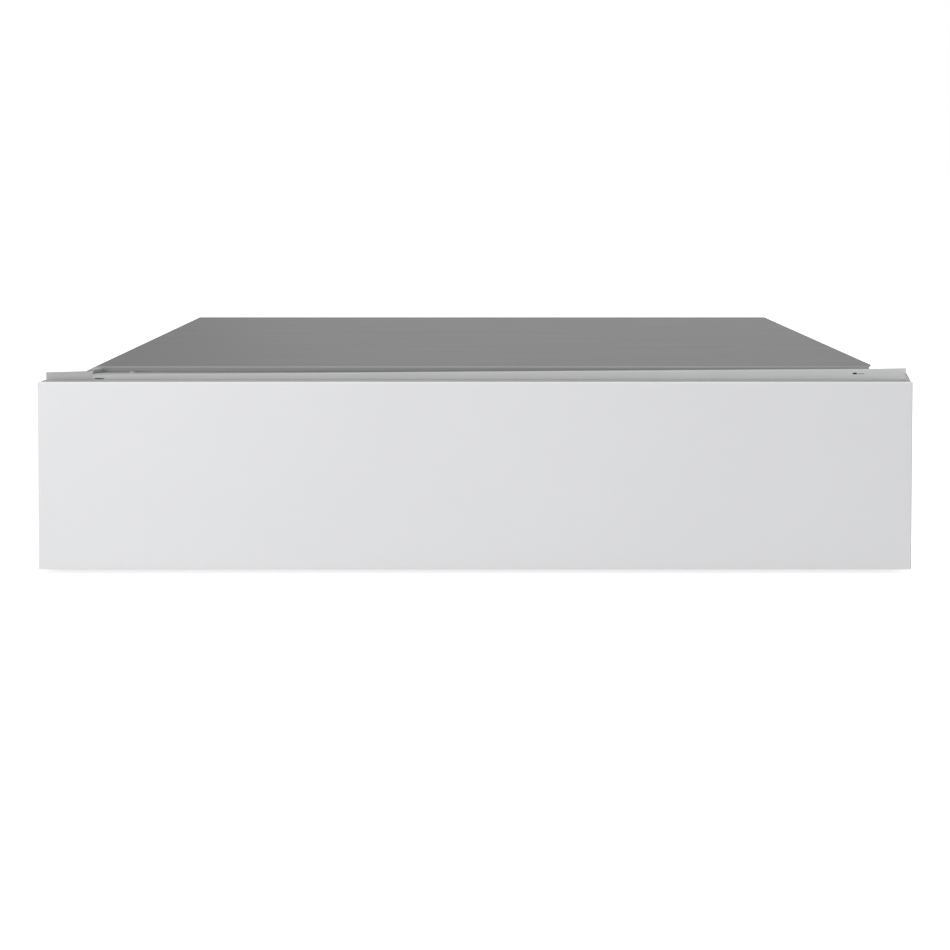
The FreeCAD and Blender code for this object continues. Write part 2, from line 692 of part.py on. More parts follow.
def rear_deck_cover():
    """Raised cover of the machine bay, with two rows of vent slots."""
    x = box_x()
    y = (BAY_FRONT_Y, DRAWER_Y[1] + SHEET)
    low = SIDE_Z[1]
    top_z = (BAY_TOP_Z - SHEET, BAY_TOP_Z)
    shell = slab(x, y, (low, BAY_TOP_Z))
    hollow = slab(grown(x, -1.2), grown(y, -SHEET), (low, top_z[0]))
    deck_room = slab(x, (y[0], y[0] + SHEET), (low, DECK_Z[1]))
    cover = shell.cut([hollow, deck_room])
    cover = cover.makeFillet(0.9, edges_at(cover, BAY_TOP_Z))
    vents = []
    for row in range(2):
        low_y = 190.0 + 14.0 * row
        vents += slots(-190.0, 44.0, 9, 34.0, (low_y, low_y + 4.0), grown(top_z, 1))
    return cover.cut(vents)


# Vacuum chamber

def vacuum_chamber():
    """Deep-drawn tub with a flat flange on the deck and two hose stubs at its rear."""
    inner = rounded_block(CHAMBER_X, CHAMBER_Y, (CHAMBER_FLOOR_Z, FLANGE_Z[1] + 1), CHAMBER_CORNER_R)
    inner = inner.makeFillet(CHAMBER_FOOT_R, edges_at(inner, CHAMBER_FLOOR_Z))
    outer_floor_z = CHAMBER_FLOOR_Z - CHAMBER_WALL
    outer = rounded_block(grown(CHAMBER_X, CHAMBER_WALL), grown(CHAMBER_Y, CHAMBER_WALL),
                          (outer_floor_z, FLANGE_Z[1]), CHAMBER_CORNER_R + CHAMBER_WALL)
    outer = outer.makeFillet(CHAMBER_FOOT_R + CHAMBER_WALL, edges_at(outer, outer_floor_z))
    reach = CHAMBER_WALL + CHAMBER_FLANGE
    flange = rounded_block(grown(CHAMBER_X, reach), grown(CHAMBER_Y, reach), FLANGE_Z,
                           CHAMBER_CORNER_R + reach)
    wall_y = CHAMBER_Y[1] + CHAMBER_WALL / 2
    stubs = [rod((x, wall_y, STUB_Z), (0, 1, 0), STUB_END_Y - wall_y, STUB_R) for x in STUB_X]
    bores = [rod((x, CHAMBER_Y[1] - 2, STUB_Z), (0, 1, 0), STUB_END_Y, 3.0) for x in STUB_X]
    return joined([outer, flange] + stubs).cut([inner] + bores)


def chamber_seal():
    """Silicone gasket on the flange."""
    offset = CHAMBER_WALL + 2.5
    gasket = ring(grown(CHAMBER_X, offset), grown(CHAMBER_Y, offset),
                  (FLANGE_Z[1], SEAL_TOP_Z), CHAMBER_CORNER_R + offset, 5.0)
    return gasket.makeFillet(1.2, edges_at(gasket, SEAL_TOP_Z))


def lift_cylinders():
    """Two small pneumatic cylinders on the chamber's floor."""
    cylinders = []
    for x in PIN_X:
        body = rod((x, BAR_Y, CHAMBER_FLOOR_Z), (0, 0, 1), CYLINDER_TOP_Z - CHAMBER_FLOOR_Z, CYLINDER_R)
        body = body.makeFillet(1.5, edges_at(body, CYLINDER_TOP_Z))
        cylinders.append(body.cut(rod((x, BAR_Y, PIN_FOOT_Z - 6), (0, 0, 1), 30.0, PIN_R + TOUCH)))
    return group(cylinders)


def lift_pins():
    """Piston rods that carry the sealing bar."""
    return group([rod((x, BAR_Y, PIN_FOOT_Z), (0, 0, 1), BAR_Z[0] - PIN_FOOT_Z, PIN_R) for x in PIN_X])


def sealing_bar():
    """Aluminium bar that holds the welding wire."""
    bar = slab(span(CHAMBER_MID_X, 160), span(BAR_Y, 6), BAR_Z)
    return bar.makeChamfer(0.8, edges_at(bar, BAR_Z[1]))


def sealing_tape():
    """Non-stick tape over the welding wire."""
    return slab(span(CHAMBER_MID_X, 157), span(BAR_Y, 4.5), (BAR_Z[1], BAR_Z[1] + TAPE_THICK))


# Lid and hinge

def glass_lid():
    """Thick tempered lid with round corners and ground edges."""
    lid = rounded_block(LID_X, LID_Y, LID_Z, 10.0)
    return lid.makeChamfer(0.8, edges_at(lid, LID_Z[1]))


def counter_bar():
    """Silicone bar under the lid that the bag is welded against."""
    return slab(span(CHAMBER_MID_X, 157), span(BAR_Y, 7), (FLANGE_Z[1], LID_Z[0]))


def hinge_arm(centre_x):
    """Arm bonded on the lid, with a knuckle round the shaft."""
    x = span(centre_x, ARM_HALF)
    top_z = (LID_Z[1], HINGE_Z + KNUCKLE_R)
    plate = slab(x, (LID_Y[1] - 34, HINGE_Y), top_z)
    corners = [edge for edge in plate.Edges
               if edge.BoundBox.YLength < 1e-6 and edge.BoundBox.ZLength > 1
               and edge.CenterOfMass.y < HINGE_Y - 1]
    plate = plate.makeFillet(8.0, corners)
    neck = slab(x, (LID_Y[1] + 0.3, HINGE_Y), (LID_Z[0], top_z[1]))
    knuckle = rod((x[0], HINGE_Y, HINGE_Z), (1, 0, 0), 2 * ARM_HALF, KNUCKLE_R)
    bore = rod((x[0], HINGE_Y, HINGE_Z), (1, 0, 0), 2 * ARM_HALF, HINGE_SHAFT_R)
    return joined([plate, neck, knuckle]).cut(bore)


def hinge_shaft():
    """Shaft through both arms; it turns in the brackets."""
    start = HINGE_X[0] - ARM_HALF - 7
    return rod((start, HINGE_Y, HINGE_Z), (1, 0, 0), HINGE_X[1] + ARM_HALF + 7 - start, HINGE_SHAFT_R)


def hinge_bracket(centre_x):
    """Deck bracket with a lug on each side of the arm's knuckle."""
    foot_top = FLANGE_Z[1]
    pieces = [slab(span(centre_x, 27), (18.5, 44.0), (DECK_Z[1], foot_top))]
    bores = []
    for side in (-1, 1):
        lug_x = sorted(centre_x + side * (ARM_HALF + offset) for offset in LUG)
        width = lug_x[1] - lug_x[0]
        pieces.append(rod((lug_x[0], HINGE_Y, HINGE_Z), (1, 0, 0), width, KNUCKLE_R))
        pieces.append(slab(lug_x, span(HINGE_Y, KNUCKLE_R), (foot_top, HINGE_Z)))
        bores.append(rod((lug_x[0] - 1, HINGE_Y, HINGE_Z), (1, 0, 0), width + 2, HINGE_SHAFT_R + TOUCH))
    return without(joined(pieces), bores)


# Control panel and port

def control_panel():
    """Black glass touch panel on the deck."""
    top_z = DECK_Z[1] + PANEL_THICK
    panel = rounded_block(PANEL_X, PANEL_Y, (DECK_Z[1], top_z), 6.0)
    return panel.makeChamfer(0.6, edges_at(panel, top_z))


def control_board():
    """Board of the touch panel, hung under the deck on four posts."""
    board_z = (76.0, 77.6)
    x = (160.0, 234.0)
    y = (-236.0, -66.0)
    connector = slab(FLEX_SLOT_X, (-160.0, -151.0), (board_z[1], DECK_Z[0] - 1))
    pieces = [slab(x, y, board_z), connector]
    for post_x in grown(x, -6):
        for post_y in grown(y, -6):
            pieces.append(rod((post_x, post_y, board_z[0]), (0, 0, 1), DECK_Z[0] - board_z[0], 3.0))
    return joined(pieces)


def vacuum_port():
    """Deck connection for external containers: flange, spigot and a tail under the deck."""
    x, y = PORT
    pieces = [
        rod((x, y, DECK_Z[1]), (0, 0, 1), 2.5, 15.0),
        rod((x, y, PORT_TAIL_Z), (0, 0, 1), DECK_Z[1] - PORT_TAIL_Z, PORT_TAIL_R),
        rod((x, y, DECK_Z[1]), (0, 0, 1), 7.0, SPIGOT_R),
    ]
    return joined(pieces).cut(rod((x, y, PORT_TAIL_Z - 5), (0, 0, 1), 60.0, PORT_BORE_R))


def port_cap():
    """Pull-off cap over the port's spigot."""
    x, y = PORT
    low = DECK_Z[1] + 2.8
    cap = rod((x, y, low), (0, 0, 1), CAP_HEIGHT, CAP_R)
    cap = cap.makeFillet(1.5, edges_at(cap, low + CAP_HEIGHT))
    groove_at = CAP_R + 1.0
    grooves = []
    for index in range(12):
        angle = index * math.pi / 6
        centre = (x + groove_at * math.cos(angle), y + groove_at * math.sin(angle), low)
        grooves.append(rod(centre, (0, 0, 1), 6.5, 1.6))
    return cap.cut([rod((x, y, low), (0, 0, 1), 5.2, SPIGOT_R + 0.4)] + grooves)


# Vacuum pump

def pump_motor():
    """Finned motor with end bells and a foot, bored for the shaft."""
    length = MOTOR_X[1] - MOTOR_X[0]
    pieces = [rod((MOTOR_X[0], PUMP_Y, PUMP_Z), (1, 0, 0), length, MOTOR_R)]
    for end in (MOTOR_X[0], MOTOR_X[1] - 8):
        pieces.append(rod((end, PUMP_Y, PUMP_Z), (1, 0, 0), 8.0, MOTOR_R + 5))
    fin_count = 20
    shaft_point = FreeCAD.Vector(0, PUMP_Y, PUMP_Z)
    for index in range(fin_count):
        fin = slab(grown(MOTOR_X, -4), span(PUMP_Y, 1.2), (PUMP_Z + MOTOR_R - 6, PUMP_Z + MOTOR_R + 4))
        fin.rotate(shaft_point, FreeCAD.Vector(1, 0, 0), (index + 0.5) * 360 / fin_count)
        pieces.append(fin)
    pieces.append(slab(grown(MOTOR_X, -15), span(PUMP_Y, 38), (MOUNT_TOP_Z, 30.0)))
    pieces.append(slab(grown(MOTOR_X, -15), span(PUMP_Y, 20), (30.0, 40.0)))
    bore = rod((MOTOR_X[0], PUMP_Y, PUMP_Z), (1, 0, 0), length, PUMP_SHAFT_R + TOUCH)
    return joined(pieces).cut(bore)


def pump_head():
    """Pump block with its inlet stub, cover ribs and shaft bore."""
    body = slab(HEAD_X, span(PUMP_Y, 40), (MOUNT_TOP_Z, HEAD_TOP_Z))
    upright = [edge for edge in body.Edges if edge.BoundBox.XLength > 60]
    body = body.makeFillet(6.0, upright)
    ribs = [slab((x, x + 3), span(PUMP_Y, 34), (HEAD_TOP_Z, HEAD_TOP_Z + 4)) for x in range(-88, -28, 10)]
    inlet = rod(INLET_STUB, (0, 1, 0), 12.0, STUB_R)
    bore = rod((HEAD_X[0], PUMP_Y, PUMP_Z), (1, 0, 0), 25.0, PUMP_SHAFT_R + TOUCH)
    return joined([body, inlet] + ribs).cut(bore)


def pump_shaft():
    """Motor shaft, from the impeller to the eccentric in the head."""
    return rod((IMPELLER_X[0] - 3, PUMP_Y, PUMP_Z), (1, 0, 0), 164.0, PUMP_SHAFT_R)


def cooling_impeller():
    """Fan on the free end of the shaft: hub, disc and straight blades."""
    front, back = IMPELLER_X
    hub = rod((front, PUMP_Y, PUMP_Z), (1, 0, 0), back - front, 11.0)
    disc = rod((back - 2, PUMP_Y, PUMP_Z), (1, 0, 0), 2.0, MOTOR_R)
    pieces = [hub, disc]
    blade_count = 9
    for index in range(blade_count):
        blade = slab((front + 2, back - 1), span(PUMP_Y, 1.0), (PUMP_Z + 9, PUMP_Z + MOTOR_R))
        blade.rotate(FreeCAD.Vector(0, PUMP_Y, PUMP_Z), FreeCAD.Vector(1, 0, 0), index * 360 / blade_count)
        pieces.append(blade)
    bore = rod((front - 5, PUMP_Y, PUMP_Z), (1, 0, 0), 30.0, PUMP_SHAFT_R)
    return joined(pieces).cut(bore)


def exhaust_filter():
    """Filter cartridge beside the head, on a short foot and neck."""
    pieces = [
        rod((FILTER_X, PUMP_Y, 25.0), (0, 0, 1), 80.0, 28.0),
        rod((FILTER_X, PUMP_Y, 88.0), (0, 0, 1), 6.0, 30.0),
        rod((FILTER_X, PUMP_Y, FLOOR_Z[1]), (0, 0, 1), 20.0, 12.0),
        rod((HEAD_X[1], PUMP_Y, 75.0), (1, 0, 0), 20.0, 8.0),
    ]
    return joined(pieces)


def pump_mounts():
    """Four rubber mounts under the motor and the head."""
    return group([rod((x, y, FLOOR_Z[1]), (0, 0, 1), MOUNT_TOP_Z - FLOOR_Z[1], MOUNT_R)
                  for x in (-185.0, -50.0) for y in (PUMP_Y - 26, PUMP_Y + 26)])


# Air path and supply

def solenoid_valves():
    """Vacuum valve and vent valve: block, coil, nut and hose stub each."""
    valves = []
    coil_y = sum(VALVE_Y) / 2
    for x in VALVE_X:
        pieces = [
            slab(span(x, 12), VALVE_Y, (FLOOR_Z[1], 35.0)),
            rod((x, coil_y, 35.0), (0, 0, 1), 34.0, 13.0),
            rod((x, coil_y, 69.0), (0, 0, 1), 5.0, 5.0),
            rod((x, VALVE_STUB[1], VALVE_STUB[2]), (0, 1, 0), 12.0, STUB_R),
        ]
        valves.append(joined(pieces))
    return group(valves)


def suction_hose():
    """Hose from the chamber to the pump's inlet."""
    start = (STUB_X[0], STUB_END_Y, STUB_Z)
    return hose([start, (STUB_X[0], 42, STUB_Z), (-44, 62, 69), (-60, 70, 70), INLET_STUB], HOSE_R)


def vent_hose():
    """Hose from the chamber to the vent valve."""
    start = (STUB_X[1], STUB_END_Y, STUB_Z)
    end_turn = (VALVE_STUB[0], 62, VALVE_STUB[2])
    return hose([start, (STUB_X[1], 36, STUB_Z), (70, 50, 42), end_turn, VALVE_STUB], HOSE_R)


def sealing_transformer():
    """Laminated core with its winding."""
    core = slab(CORE_X, CORE_Y, (FLOOR_Z[1], CORE_TOP_Z))
    winding = slab(grown(CORE_X, -12), grown(CORE_Y, 12), (FLOOR_Z[1] + 11, CORE_TOP_Z - 11))
    long_edges = [edge for edge in winding.Edges if edge.BoundBox.ZLength > 30]
    winding = winding.makeFillet(8.0, long_edges)
    return joined([core, winding])


def power_board():
    """Supply board on four posts, with capacitors, relays and a heat sink."""
    pieces = [slab(BOARD_X, BOARD_Y, BOARD_Z)]
    for post_x in grown(BOARD_X, -6):
        for post_y in grown(BOARD_Y, -6):
            pieces.append(rod((post_x, post_y, FLOOR_Z[1]), (0, 0, 1), BOARD_Z[0] - FLOOR_Z[1], 3.0))
    for index in range(3):
        capacitor_x = BOARD_X[0] + 17 + 18 * index
        relay_x = BOARD_X[0] + 13 + 22 * index
        pieces.append(rod((capacitor_x, 78.0, BOARD_Z[1]), (0, 0, 1), 26.0, 7.5))
        pieces.append(slab((relay_x, relay_x + 16), (100.0, 128.0), (BOARD_Z[1], 38.0)))
    sink_base_z = (BOARD_Z[1], 26.0)
    pieces.append(slab((HEAT_SINK_X, HEAT_SINK_X + 28), HEAT_SINK_Y, sink_base_z))
    for index in range(6):
        fin_x = HEAT_SINK_X + 5 * index
        pieces.append(slab((fin_x, fin_x + 2), HEAT_SINK_Y, (sink_base_z[1], 46.0)))
    return joined(pieces)


NODES = {
    "base_pan": base_pan,
    "left_side_wall": lambda: side_wall(-1),
    "right_side_wall": lambda: side_wall(1),
    "rear_wall": rear_wall,
    "top_cover": top_cover,
    "front_crossbar": front_crossbar,
    "crossbar_rivets": crossbar_rivets,
    "housing_screws": housing_screws,
    "rubber_feet": rubber_feet,
    "mains_inlet": mains_inlet,
    "latch_housing": latch_housing,
    "latch_plunger": latch_plunger,
    "left_outer_rail": lambda: outer_rail(-1),
    "right_outer_rail": lambda: outer_rail(1),
    "left_middle_rail": lambda: middle_rail(-1),
    "right_middle_rail": lambda: middle_rail(1),
    "left_inner_rail": lambda: inner_rail(-1),
    "right_inner_rail": lambda: inner_rail(1),
    "left_outer_ball_cage": lambda: outer_ball_cage(-1),
    "right_outer_ball_cage": lambda: outer_ball_cage(1),
    "left_inner_ball_cage": lambda: inner_ball_cage(-1),
    "right_inner_ball_cage": lambda: inner_ball_cage(1),
    "front_glass": front_glass,
    "glue_seam": glue_seam,
    "front_tray": front_tray,
    "left_drawer_side": lambda: drawer_side(-1),
    "right_drawer_side": lambda: drawer_side(1),
    "drawer_floor": drawer_floor,
    "drawer_back": drawer_back,
    "deck_plate": deck_plate,
    "deck_screws": deck_screws,
    "rear_deck_cover": rear_deck_cover,
    "vacuum_chamber": vacuum_chamber,
    "chamber_seal": chamber_seal,
    "lift_cylinders": lift_cylinders,
    "lift_pins": lift_pins,
    "sealing_bar": sealing_bar,
    "sealing_tape": sealing_tape,
    "glass_lid": glass_lid,
    "counter_bar": counter_bar,
    "left_hinge_arm": lambda: hinge_arm(HINGE_X[0]),
    "right_hinge_arm": lambda: hinge_arm(HINGE_X[1]),
    "hinge_shaft": hinge_shaft,
    "left_hinge_bracket": lambda: hinge_bracket(HINGE_X[0]),
    "right_hinge_bracket": lambda: hinge_bracket(HINGE_X[1]),
    "control_panel": control_panel,
    "control_board": control_board,
    "vacuum_port": vacuum_port,
    "port_cap": port_cap,
    "pump_motor": pump_motor,
    "pump_head": pump_head,
    "pump_shaft": pump_shaft,
    "cooling_impeller": cooling_impeller,
    "exhaust_filter": exhaust_filter,
    "pump_mounts": pump_mounts,
    "solenoid_valves": solenoid_valves,
    "suction_hose": suction_hose,
    "vent_hose": vent_hose,
    "sealing_transformer": sealing_transformer,
    "power_board": power_board,
}

os.makedirs("parts", exist_ok=True)
for name, make in NODES.items():
    shape = make()
    solids = shape.Solids
    if not shape.isValid() or not solids:
        print("not a good solid:", name)
    shape.exportStep("parts/" + name + ".step")
print(len(NODES), "nodes written")
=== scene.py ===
# %% [markdown]
# # A vacuum sealing drawer
# The real object is a handleless built-in drawer: a white glass front, a sheet-metal housing, telescopic
# runners, and inside a steel vacuum chamber under a glass lid. The CAD model already holds every piece at
# its real size, so this lesson never moves one. It gives each piece the finish of the real metal, glass or
# rubber, adds the small pressed and printed details that CAD leaves out, and sets up a plain white studio.

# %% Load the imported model
import math

import bmesh
import bpy
import numpy as np
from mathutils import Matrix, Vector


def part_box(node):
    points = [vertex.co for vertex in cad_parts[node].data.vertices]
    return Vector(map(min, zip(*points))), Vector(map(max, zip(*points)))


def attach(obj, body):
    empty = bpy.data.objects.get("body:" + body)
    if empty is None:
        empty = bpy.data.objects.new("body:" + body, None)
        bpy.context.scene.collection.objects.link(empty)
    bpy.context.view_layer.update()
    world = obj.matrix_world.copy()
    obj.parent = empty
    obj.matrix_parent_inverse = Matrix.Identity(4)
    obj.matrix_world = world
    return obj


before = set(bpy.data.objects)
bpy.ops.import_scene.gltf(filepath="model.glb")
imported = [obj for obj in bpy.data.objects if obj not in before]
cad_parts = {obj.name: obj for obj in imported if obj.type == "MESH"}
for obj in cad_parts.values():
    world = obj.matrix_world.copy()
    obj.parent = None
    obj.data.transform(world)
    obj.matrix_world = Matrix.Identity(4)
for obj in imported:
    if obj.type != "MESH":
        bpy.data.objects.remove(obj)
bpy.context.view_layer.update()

MM = 0.001

# %% [markdown]
# ## The camera
# The photograph is a catalogue view: straight on, with a long lens, from a little above the top cover. The
# vanishing point of the cover's side edges gives the camera's height, and the width of the glass gives its
# distance. The front's upright edges stay parallel in such a picture although the object sits low in it,
# which a real camera does with a shifted lens. Most of the offset here is lens shift, and the small rest is
# a downward tilt. Both were fitted together, so that the corners of the glass and the cover fall within
# about a pixel of their places.

# %% Place the camera
IMAGE_SIDE = 950
FOCAL_PIXELS = 1912.4
CAMERA_PLACE = (0.0, -1.5678, 0.2631)
LENS_SHIFT = -0.225
TILT_DEGREES = 2.197

camera_data = bpy.data.cameras.new("camera")
camera_data.sensor_width = 36.0
camera_data.lens = FOCAL_PIXELS / IMAGE_SIDE * camera_data.sensor_width
camera_data.shift_y = LENS_SHIFT
camera = bpy.data.objects.new("camera", camera_data)
camera.location = CAMERA_PLACE
camera.rotation_euler = (math.radians(90 - TILT_DEGREES), 0.0, 0.0)
bpy.context.scene.collection.objects.link(camera)
bpy.context.scene.camera = camera
bpy.context.scene.view_settings.view_transform = "Standard"
print("lens", round(camera_data.lens, 1), "mm, tilt", TILT_DEGREES, "degrees")

# %% [markdown]
# ## The studio
# The background is pure white, as on a catalogue page. The world is white to the camera, to mirrors and
# through glass, but gives the object only a plain level of light. The floor is a pale plane that keeps the
# object's soft shadow and adds just enough light of its own, to the camera only, to join the background.

# %% Build the world and the floor
SKY_LEVEL = 0.40
FLOOR_COLOUR = (0.90, 0.90, 0.90, 1.0)
FLOOR_LIFT = 0.72
FLOOR_HALF = 30.0


def bright_rays(tree):
    """One for camera, glossy and transmission rays, zero for the rays that light a surface."""
    path = tree.nodes.new("ShaderNodeLightPath")
    total = path.outputs["Is Camera Ray"]
    for name in ("Is Glossy Ray", "Is Transmission Ray"):
        add = tree.nodes.new("ShaderNodeMath")
        add.operation = "ADD"
        add.use_clamp = True
        tree.links.new(total, add.inputs[0])
        tree.links.new(path.outputs[name], add.inputs[1])
        total = add.outputs[0]
    return total


def build_world():
    """White to the eye, a plain level of light to the object."""
    world = bpy.data.worlds.new("studio")
    world.use_nodes = True
    tree = world.node_tree
    background = tree.nodes["Background"]
    background.inputs["Color"].default_value = (1.0, 1.0, 1.0, 1.0)
    level = tree.nodes.new("ShaderNodeMapRange")
    level.inputs["To Min"].default_value = SKY_LEVEL
    level.inputs["To Max"].default_value = 1.0
    tree.links.new(bright_rays(tree), level.inputs["Value"])
    tree.links.new(level.outputs["Result"], background.inputs["Strength"])
    bpy.context.scene.world = world


def build_floor():
    """Large pale plane under the feet."""
    corners = FLOOR_HALF * np.array([[-1, -1, 0], [1, -1, 0], [1, 1, 0], [-1, 1, 0]])
    mesh = bpy.data.meshes.new("floor")
    mesh.from_pydata(corners.tolist(), [], [(0, 1, 2, 3)])
    floor = bpy.data.objects.new("floor", mesh)
    bpy.context.scene.collection.objects.link(floor)
    material = bpy.data.materials.new("floor_paper")
    material.use_nodes = True
    tree = material.node_tree
    shader = tree.nodes["Principled BSDF"]
    shader.inputs["Base Color"].default_value = FLOOR_COLOUR
    shader.inputs["Roughness"].default_value = 0.9
    shader.inputs["Specular IOR Level"].default_value = 0.1
    shader.inputs["Emission Color"].default_value = (1.0, 1.0, 1.0, 1.0)
    lift = tree.nodes.new("ShaderNodeMath")
    lift.operation = "MULTIPLY"
    lift.inputs[1].default_value = FLOOR_LIFT
    tree.links.new(bright_rays(tree), lift.inputs[0])
    tree.links.new(lift.outputs[0], shader.inputs["Emission Strength"])
    mesh.materials.append(material)


build_world()
build_floor()
print("world level", SKY_LEVEL, "and a floor", 2 * FLOOR_HALF, "m wide")

# %% [markdown]
# ## The lamps
# Four soft lamps light the drawer. A small one stands low at the front left, because the white front in the
# photograph fades evenly from left to right. The other three are large and weaker: one above for the cover,
# one at the right and one behind, so that no side falls into the dark when the drawer is seen from another
# angle.

# %% Hang the lamps
LAMP_AIM_Z = 0.07
LAMPS = {
    "front_left": ((-1.4, -2.3, 0.4), 0.7, 29.0),
    "above": ((0.0, -0.1, 2.4), 2.4, 10.0),
    "right": ((2.2, 0.5, 1.2), 1.6, 7.0),
    "behind": ((0.2, 2.4, 1.3), 1.6, 6.0),
}


def hang_lamp(name, place, side, power):
    """Square area lamp that looks at the middle of the object."""
    data = bpy.data.lights.new(name, "AREA")
    data.shape = "SQUARE"
    data.size = side
    data.energy = power
    lamp = bpy.data.objects.new(name, data)
    bpy.context.scene.collection.objects.link(lamp)
    x, y, z = place
    lamp.location = place
    lean = math.atan2(math.hypot(x, y), z - LAMP_AIM_Z)
    lamp.rotation_euler = (lean, 0.0, math.atan2(y, x) + math.pi / 2)


for name, (place, side, power) in LAMPS.items():
    hang_lamp(name, place, side, power)
print(len(LAMPS), "lamps")

# %% [markdown]
# ## Finishes: a few shared tools
# A finish is a Principled shader plus two or three patterns. Each pattern reads Object coordinates, in
# metres, so it stays on the piece when the drawer slides. Stretching a noise pattern along one axis turns
# it into brushed grain, and sending it to colour, roughness and bump together is what makes metal look
# handled rather than flat. Values that are the same all over stay on the shader itself.

# %% Tools for patterns


def new_finish(name, colour, roughness, metallic=0.0):
    """Material with one Principled shader; gives the material, its node tree and the shader."""
    material = bpy.data.materials.new(name)
    material.use_nodes = True
    tree = material.node_tree
    shader = tree.nodes["Principled BSDF"]
    shader.inputs["Base Color"].default_value = (*colour, 1.0)
    shader.inputs["Roughness"].default_value = roughness
    shader.inputs["Metallic"].default_value = metallic
    return material, tree, shader


def node(tree, kind, operation=None, **values):
    """New node with its operation and with input values given by socket name or place."""
    made = tree.nodes.new("ShaderNode" + kind)
    if operation:
        made.operation = operation
    for key, value in values.items():
        socket = made.inputs[int(key[1:])] if key[0] == "_" else made.inputs[key.replace("_", " ")]
        if isinstance(value, bpy.types.NodeSocket):
            tree.links.new(value, socket)
        else:
            socket.default_value = value
    return made


def place_of(tree):
    """Object coordinates, in metres."""
    return tree.nodes.new("ShaderNodeTexCoord").outputs["Object"]


def coordinate(tree, axis):
    """One object coordinate, in metres."""
    return node(tree, "SeparateXYZ", Vector=place_of(tree)).outputs[axis]


def stretched(tree, stretch):
    """Object coordinates multiplied along each axis: a small number makes a pattern long that way."""
    return node(tree, "Mapping", Vector=place_of(tree), Scale=stretch).outputs["Vector"]


def noise(tree, stretch, detail=3.0, rough=0.55):
    """Soft random pattern, about one change per unit of the stretched coordinates."""
    made = node(tree, "TexNoise", Vector=stretched(tree, stretch), Scale=1.0, Detail=detail, Roughness=rough)
    return made.outputs["Fac"]


def cells(tree, size):
    """One random value for each crystal-like cell of about the given size in metres."""
    made = node(tree, "TexVoronoi", Vector=place_of(tree), Scale=1.0 / size)
    return node(tree, "SeparateColor", Color=made.outputs["Color"]).outputs["Red"]


def spread(tree, value, low, high, start=0.3, end=0.7):
    """Value from start to end taken to low to high; noise lies mostly between 0.3 and 0.7."""
    made = node(tree, "MapRange", Value=value, From_Min=start, From_Max=end, To_Min=low, To_Max=high)
    return made.outputs["Result"]


def tinted(tree, shader, colour, value, depth):
    """Base colour that a 0 to 1 pattern darkens and lightens by up to depth."""
    dark = tuple(channel * (1 - depth) for channel in colour) + (1.0,)
    light = tuple(min(1.0, channel * (1 + depth)) for channel in colour) + (1.0,)
    mix = tree.nodes.new("ShaderNodeMix")
    mix.data_type = "RGBA"
    mix.inputs[6].default_value = dark
    mix.inputs[7].default_value = light
    tree.links.new(value, mix.inputs[0])
    tree.links.new(mix.outputs[2], shader.inputs["Base Color"])
    return mix.outputs[2]


def bumped(tree, shader, height, depth, strength=1.0):
    """Bump of the given depth in metres from a 0 to 1 pattern."""
    made = node(tree, "Bump", Height=height, Strength=strength, Distance=depth)
    tree.links.new(made.outputs["Normal"], shader.inputs["Normal"])


def blended(tree, mask, low, high):
    """Colour low where the mask is 0 and high where it is 1; each may be a colour or a socket."""
    mix = tree.nodes.new("ShaderNodeMix")
    mix.data_type = "RGBA"
    tree.links.new(mask, mix.inputs[0])
    for socket, value in ((mix.inputs[6], low), (mix.inputs[7], high)):
        if isinstance(value, bpy.types.NodeSocket):
            tree.links.new(value, socket)
        else:
            socket.default_value = (*value, 1.0)
    return mix.outputs[2]


def between(tree, axis, low, high):
    """Mask that is 1 where one object coordinate lies between two values in metres."""
    value = coordinate(tree, axis)
    above = node(tree, "Math", "GREATER_THAN", _0=value, _1=low).outputs[0]
    below = node(tree, "Math", "LESS_THAN", _0=value, _1=high).outputs[0]
    return node(tree, "Math", "MULTIPLY", _0=above, _1=below).outputs[0]


def both(tree, first, second):
    """Mask that is 1 where both masks are."""
    return node(tree, "Math", "MULTIPLY", _0=first, _1=second).outputs[0]


def either(tree, first, second):
    """Mask that is 1 where at least one mask is."""
    return node(tree, "Math", "MAXIMUM", _0=first, _1=second).outputs[0]


def facing(tree, axis, least):
    """Mask that is 1 where the surface faces along an axis, either way, by at least that cosine."""
    normal = tree.nodes.new("ShaderNodeTexCoord").outputs["Normal"]
    part = node(tree, "SeparateXYZ", Vector=normal).outputs[axis]
    size = node(tree, "Math", "ABSOLUTE", _0=part).outputs[0]
    return node(tree, "Math", "GREATER_THAN", _0=size, _1=least).outputs[0]


# %% [markdown]
# ## Sheet metal
# The cover is brushed grey sheet: in the photograph it is an even mid grey with faint streaks from side to
# side, some hair-thin and some as broad as a hand. A bright line along its bend is a painted highlight, and
# its lips carry painted light and shade. The ears, walls, carrier and crossbar are a lighter satin
# zinc-coated sheet with painted shade that makes it a little darker at the left, and the pan and the rear
# wall show the crystal spangle of hot-dip galvanising. Stainless steel is brushed finer and is brighter.
# Grain runs along the sheet, so the stretch differs by piece. Masks on the direction that the surface faces
# paint that highlight on a bend, and painted shade on a face that looks up, with no seam in the mesh.

# %% Brushed, galvanised and stainless sheet
FLAT_TOP = 0.98      # least share of a face's direction that points up, on a flat top
# the bend mask sets where the cover gets its painted highlight
PAINTED_BEND_HIGHLIGHT = 0.35          # the same on the round bend beside it


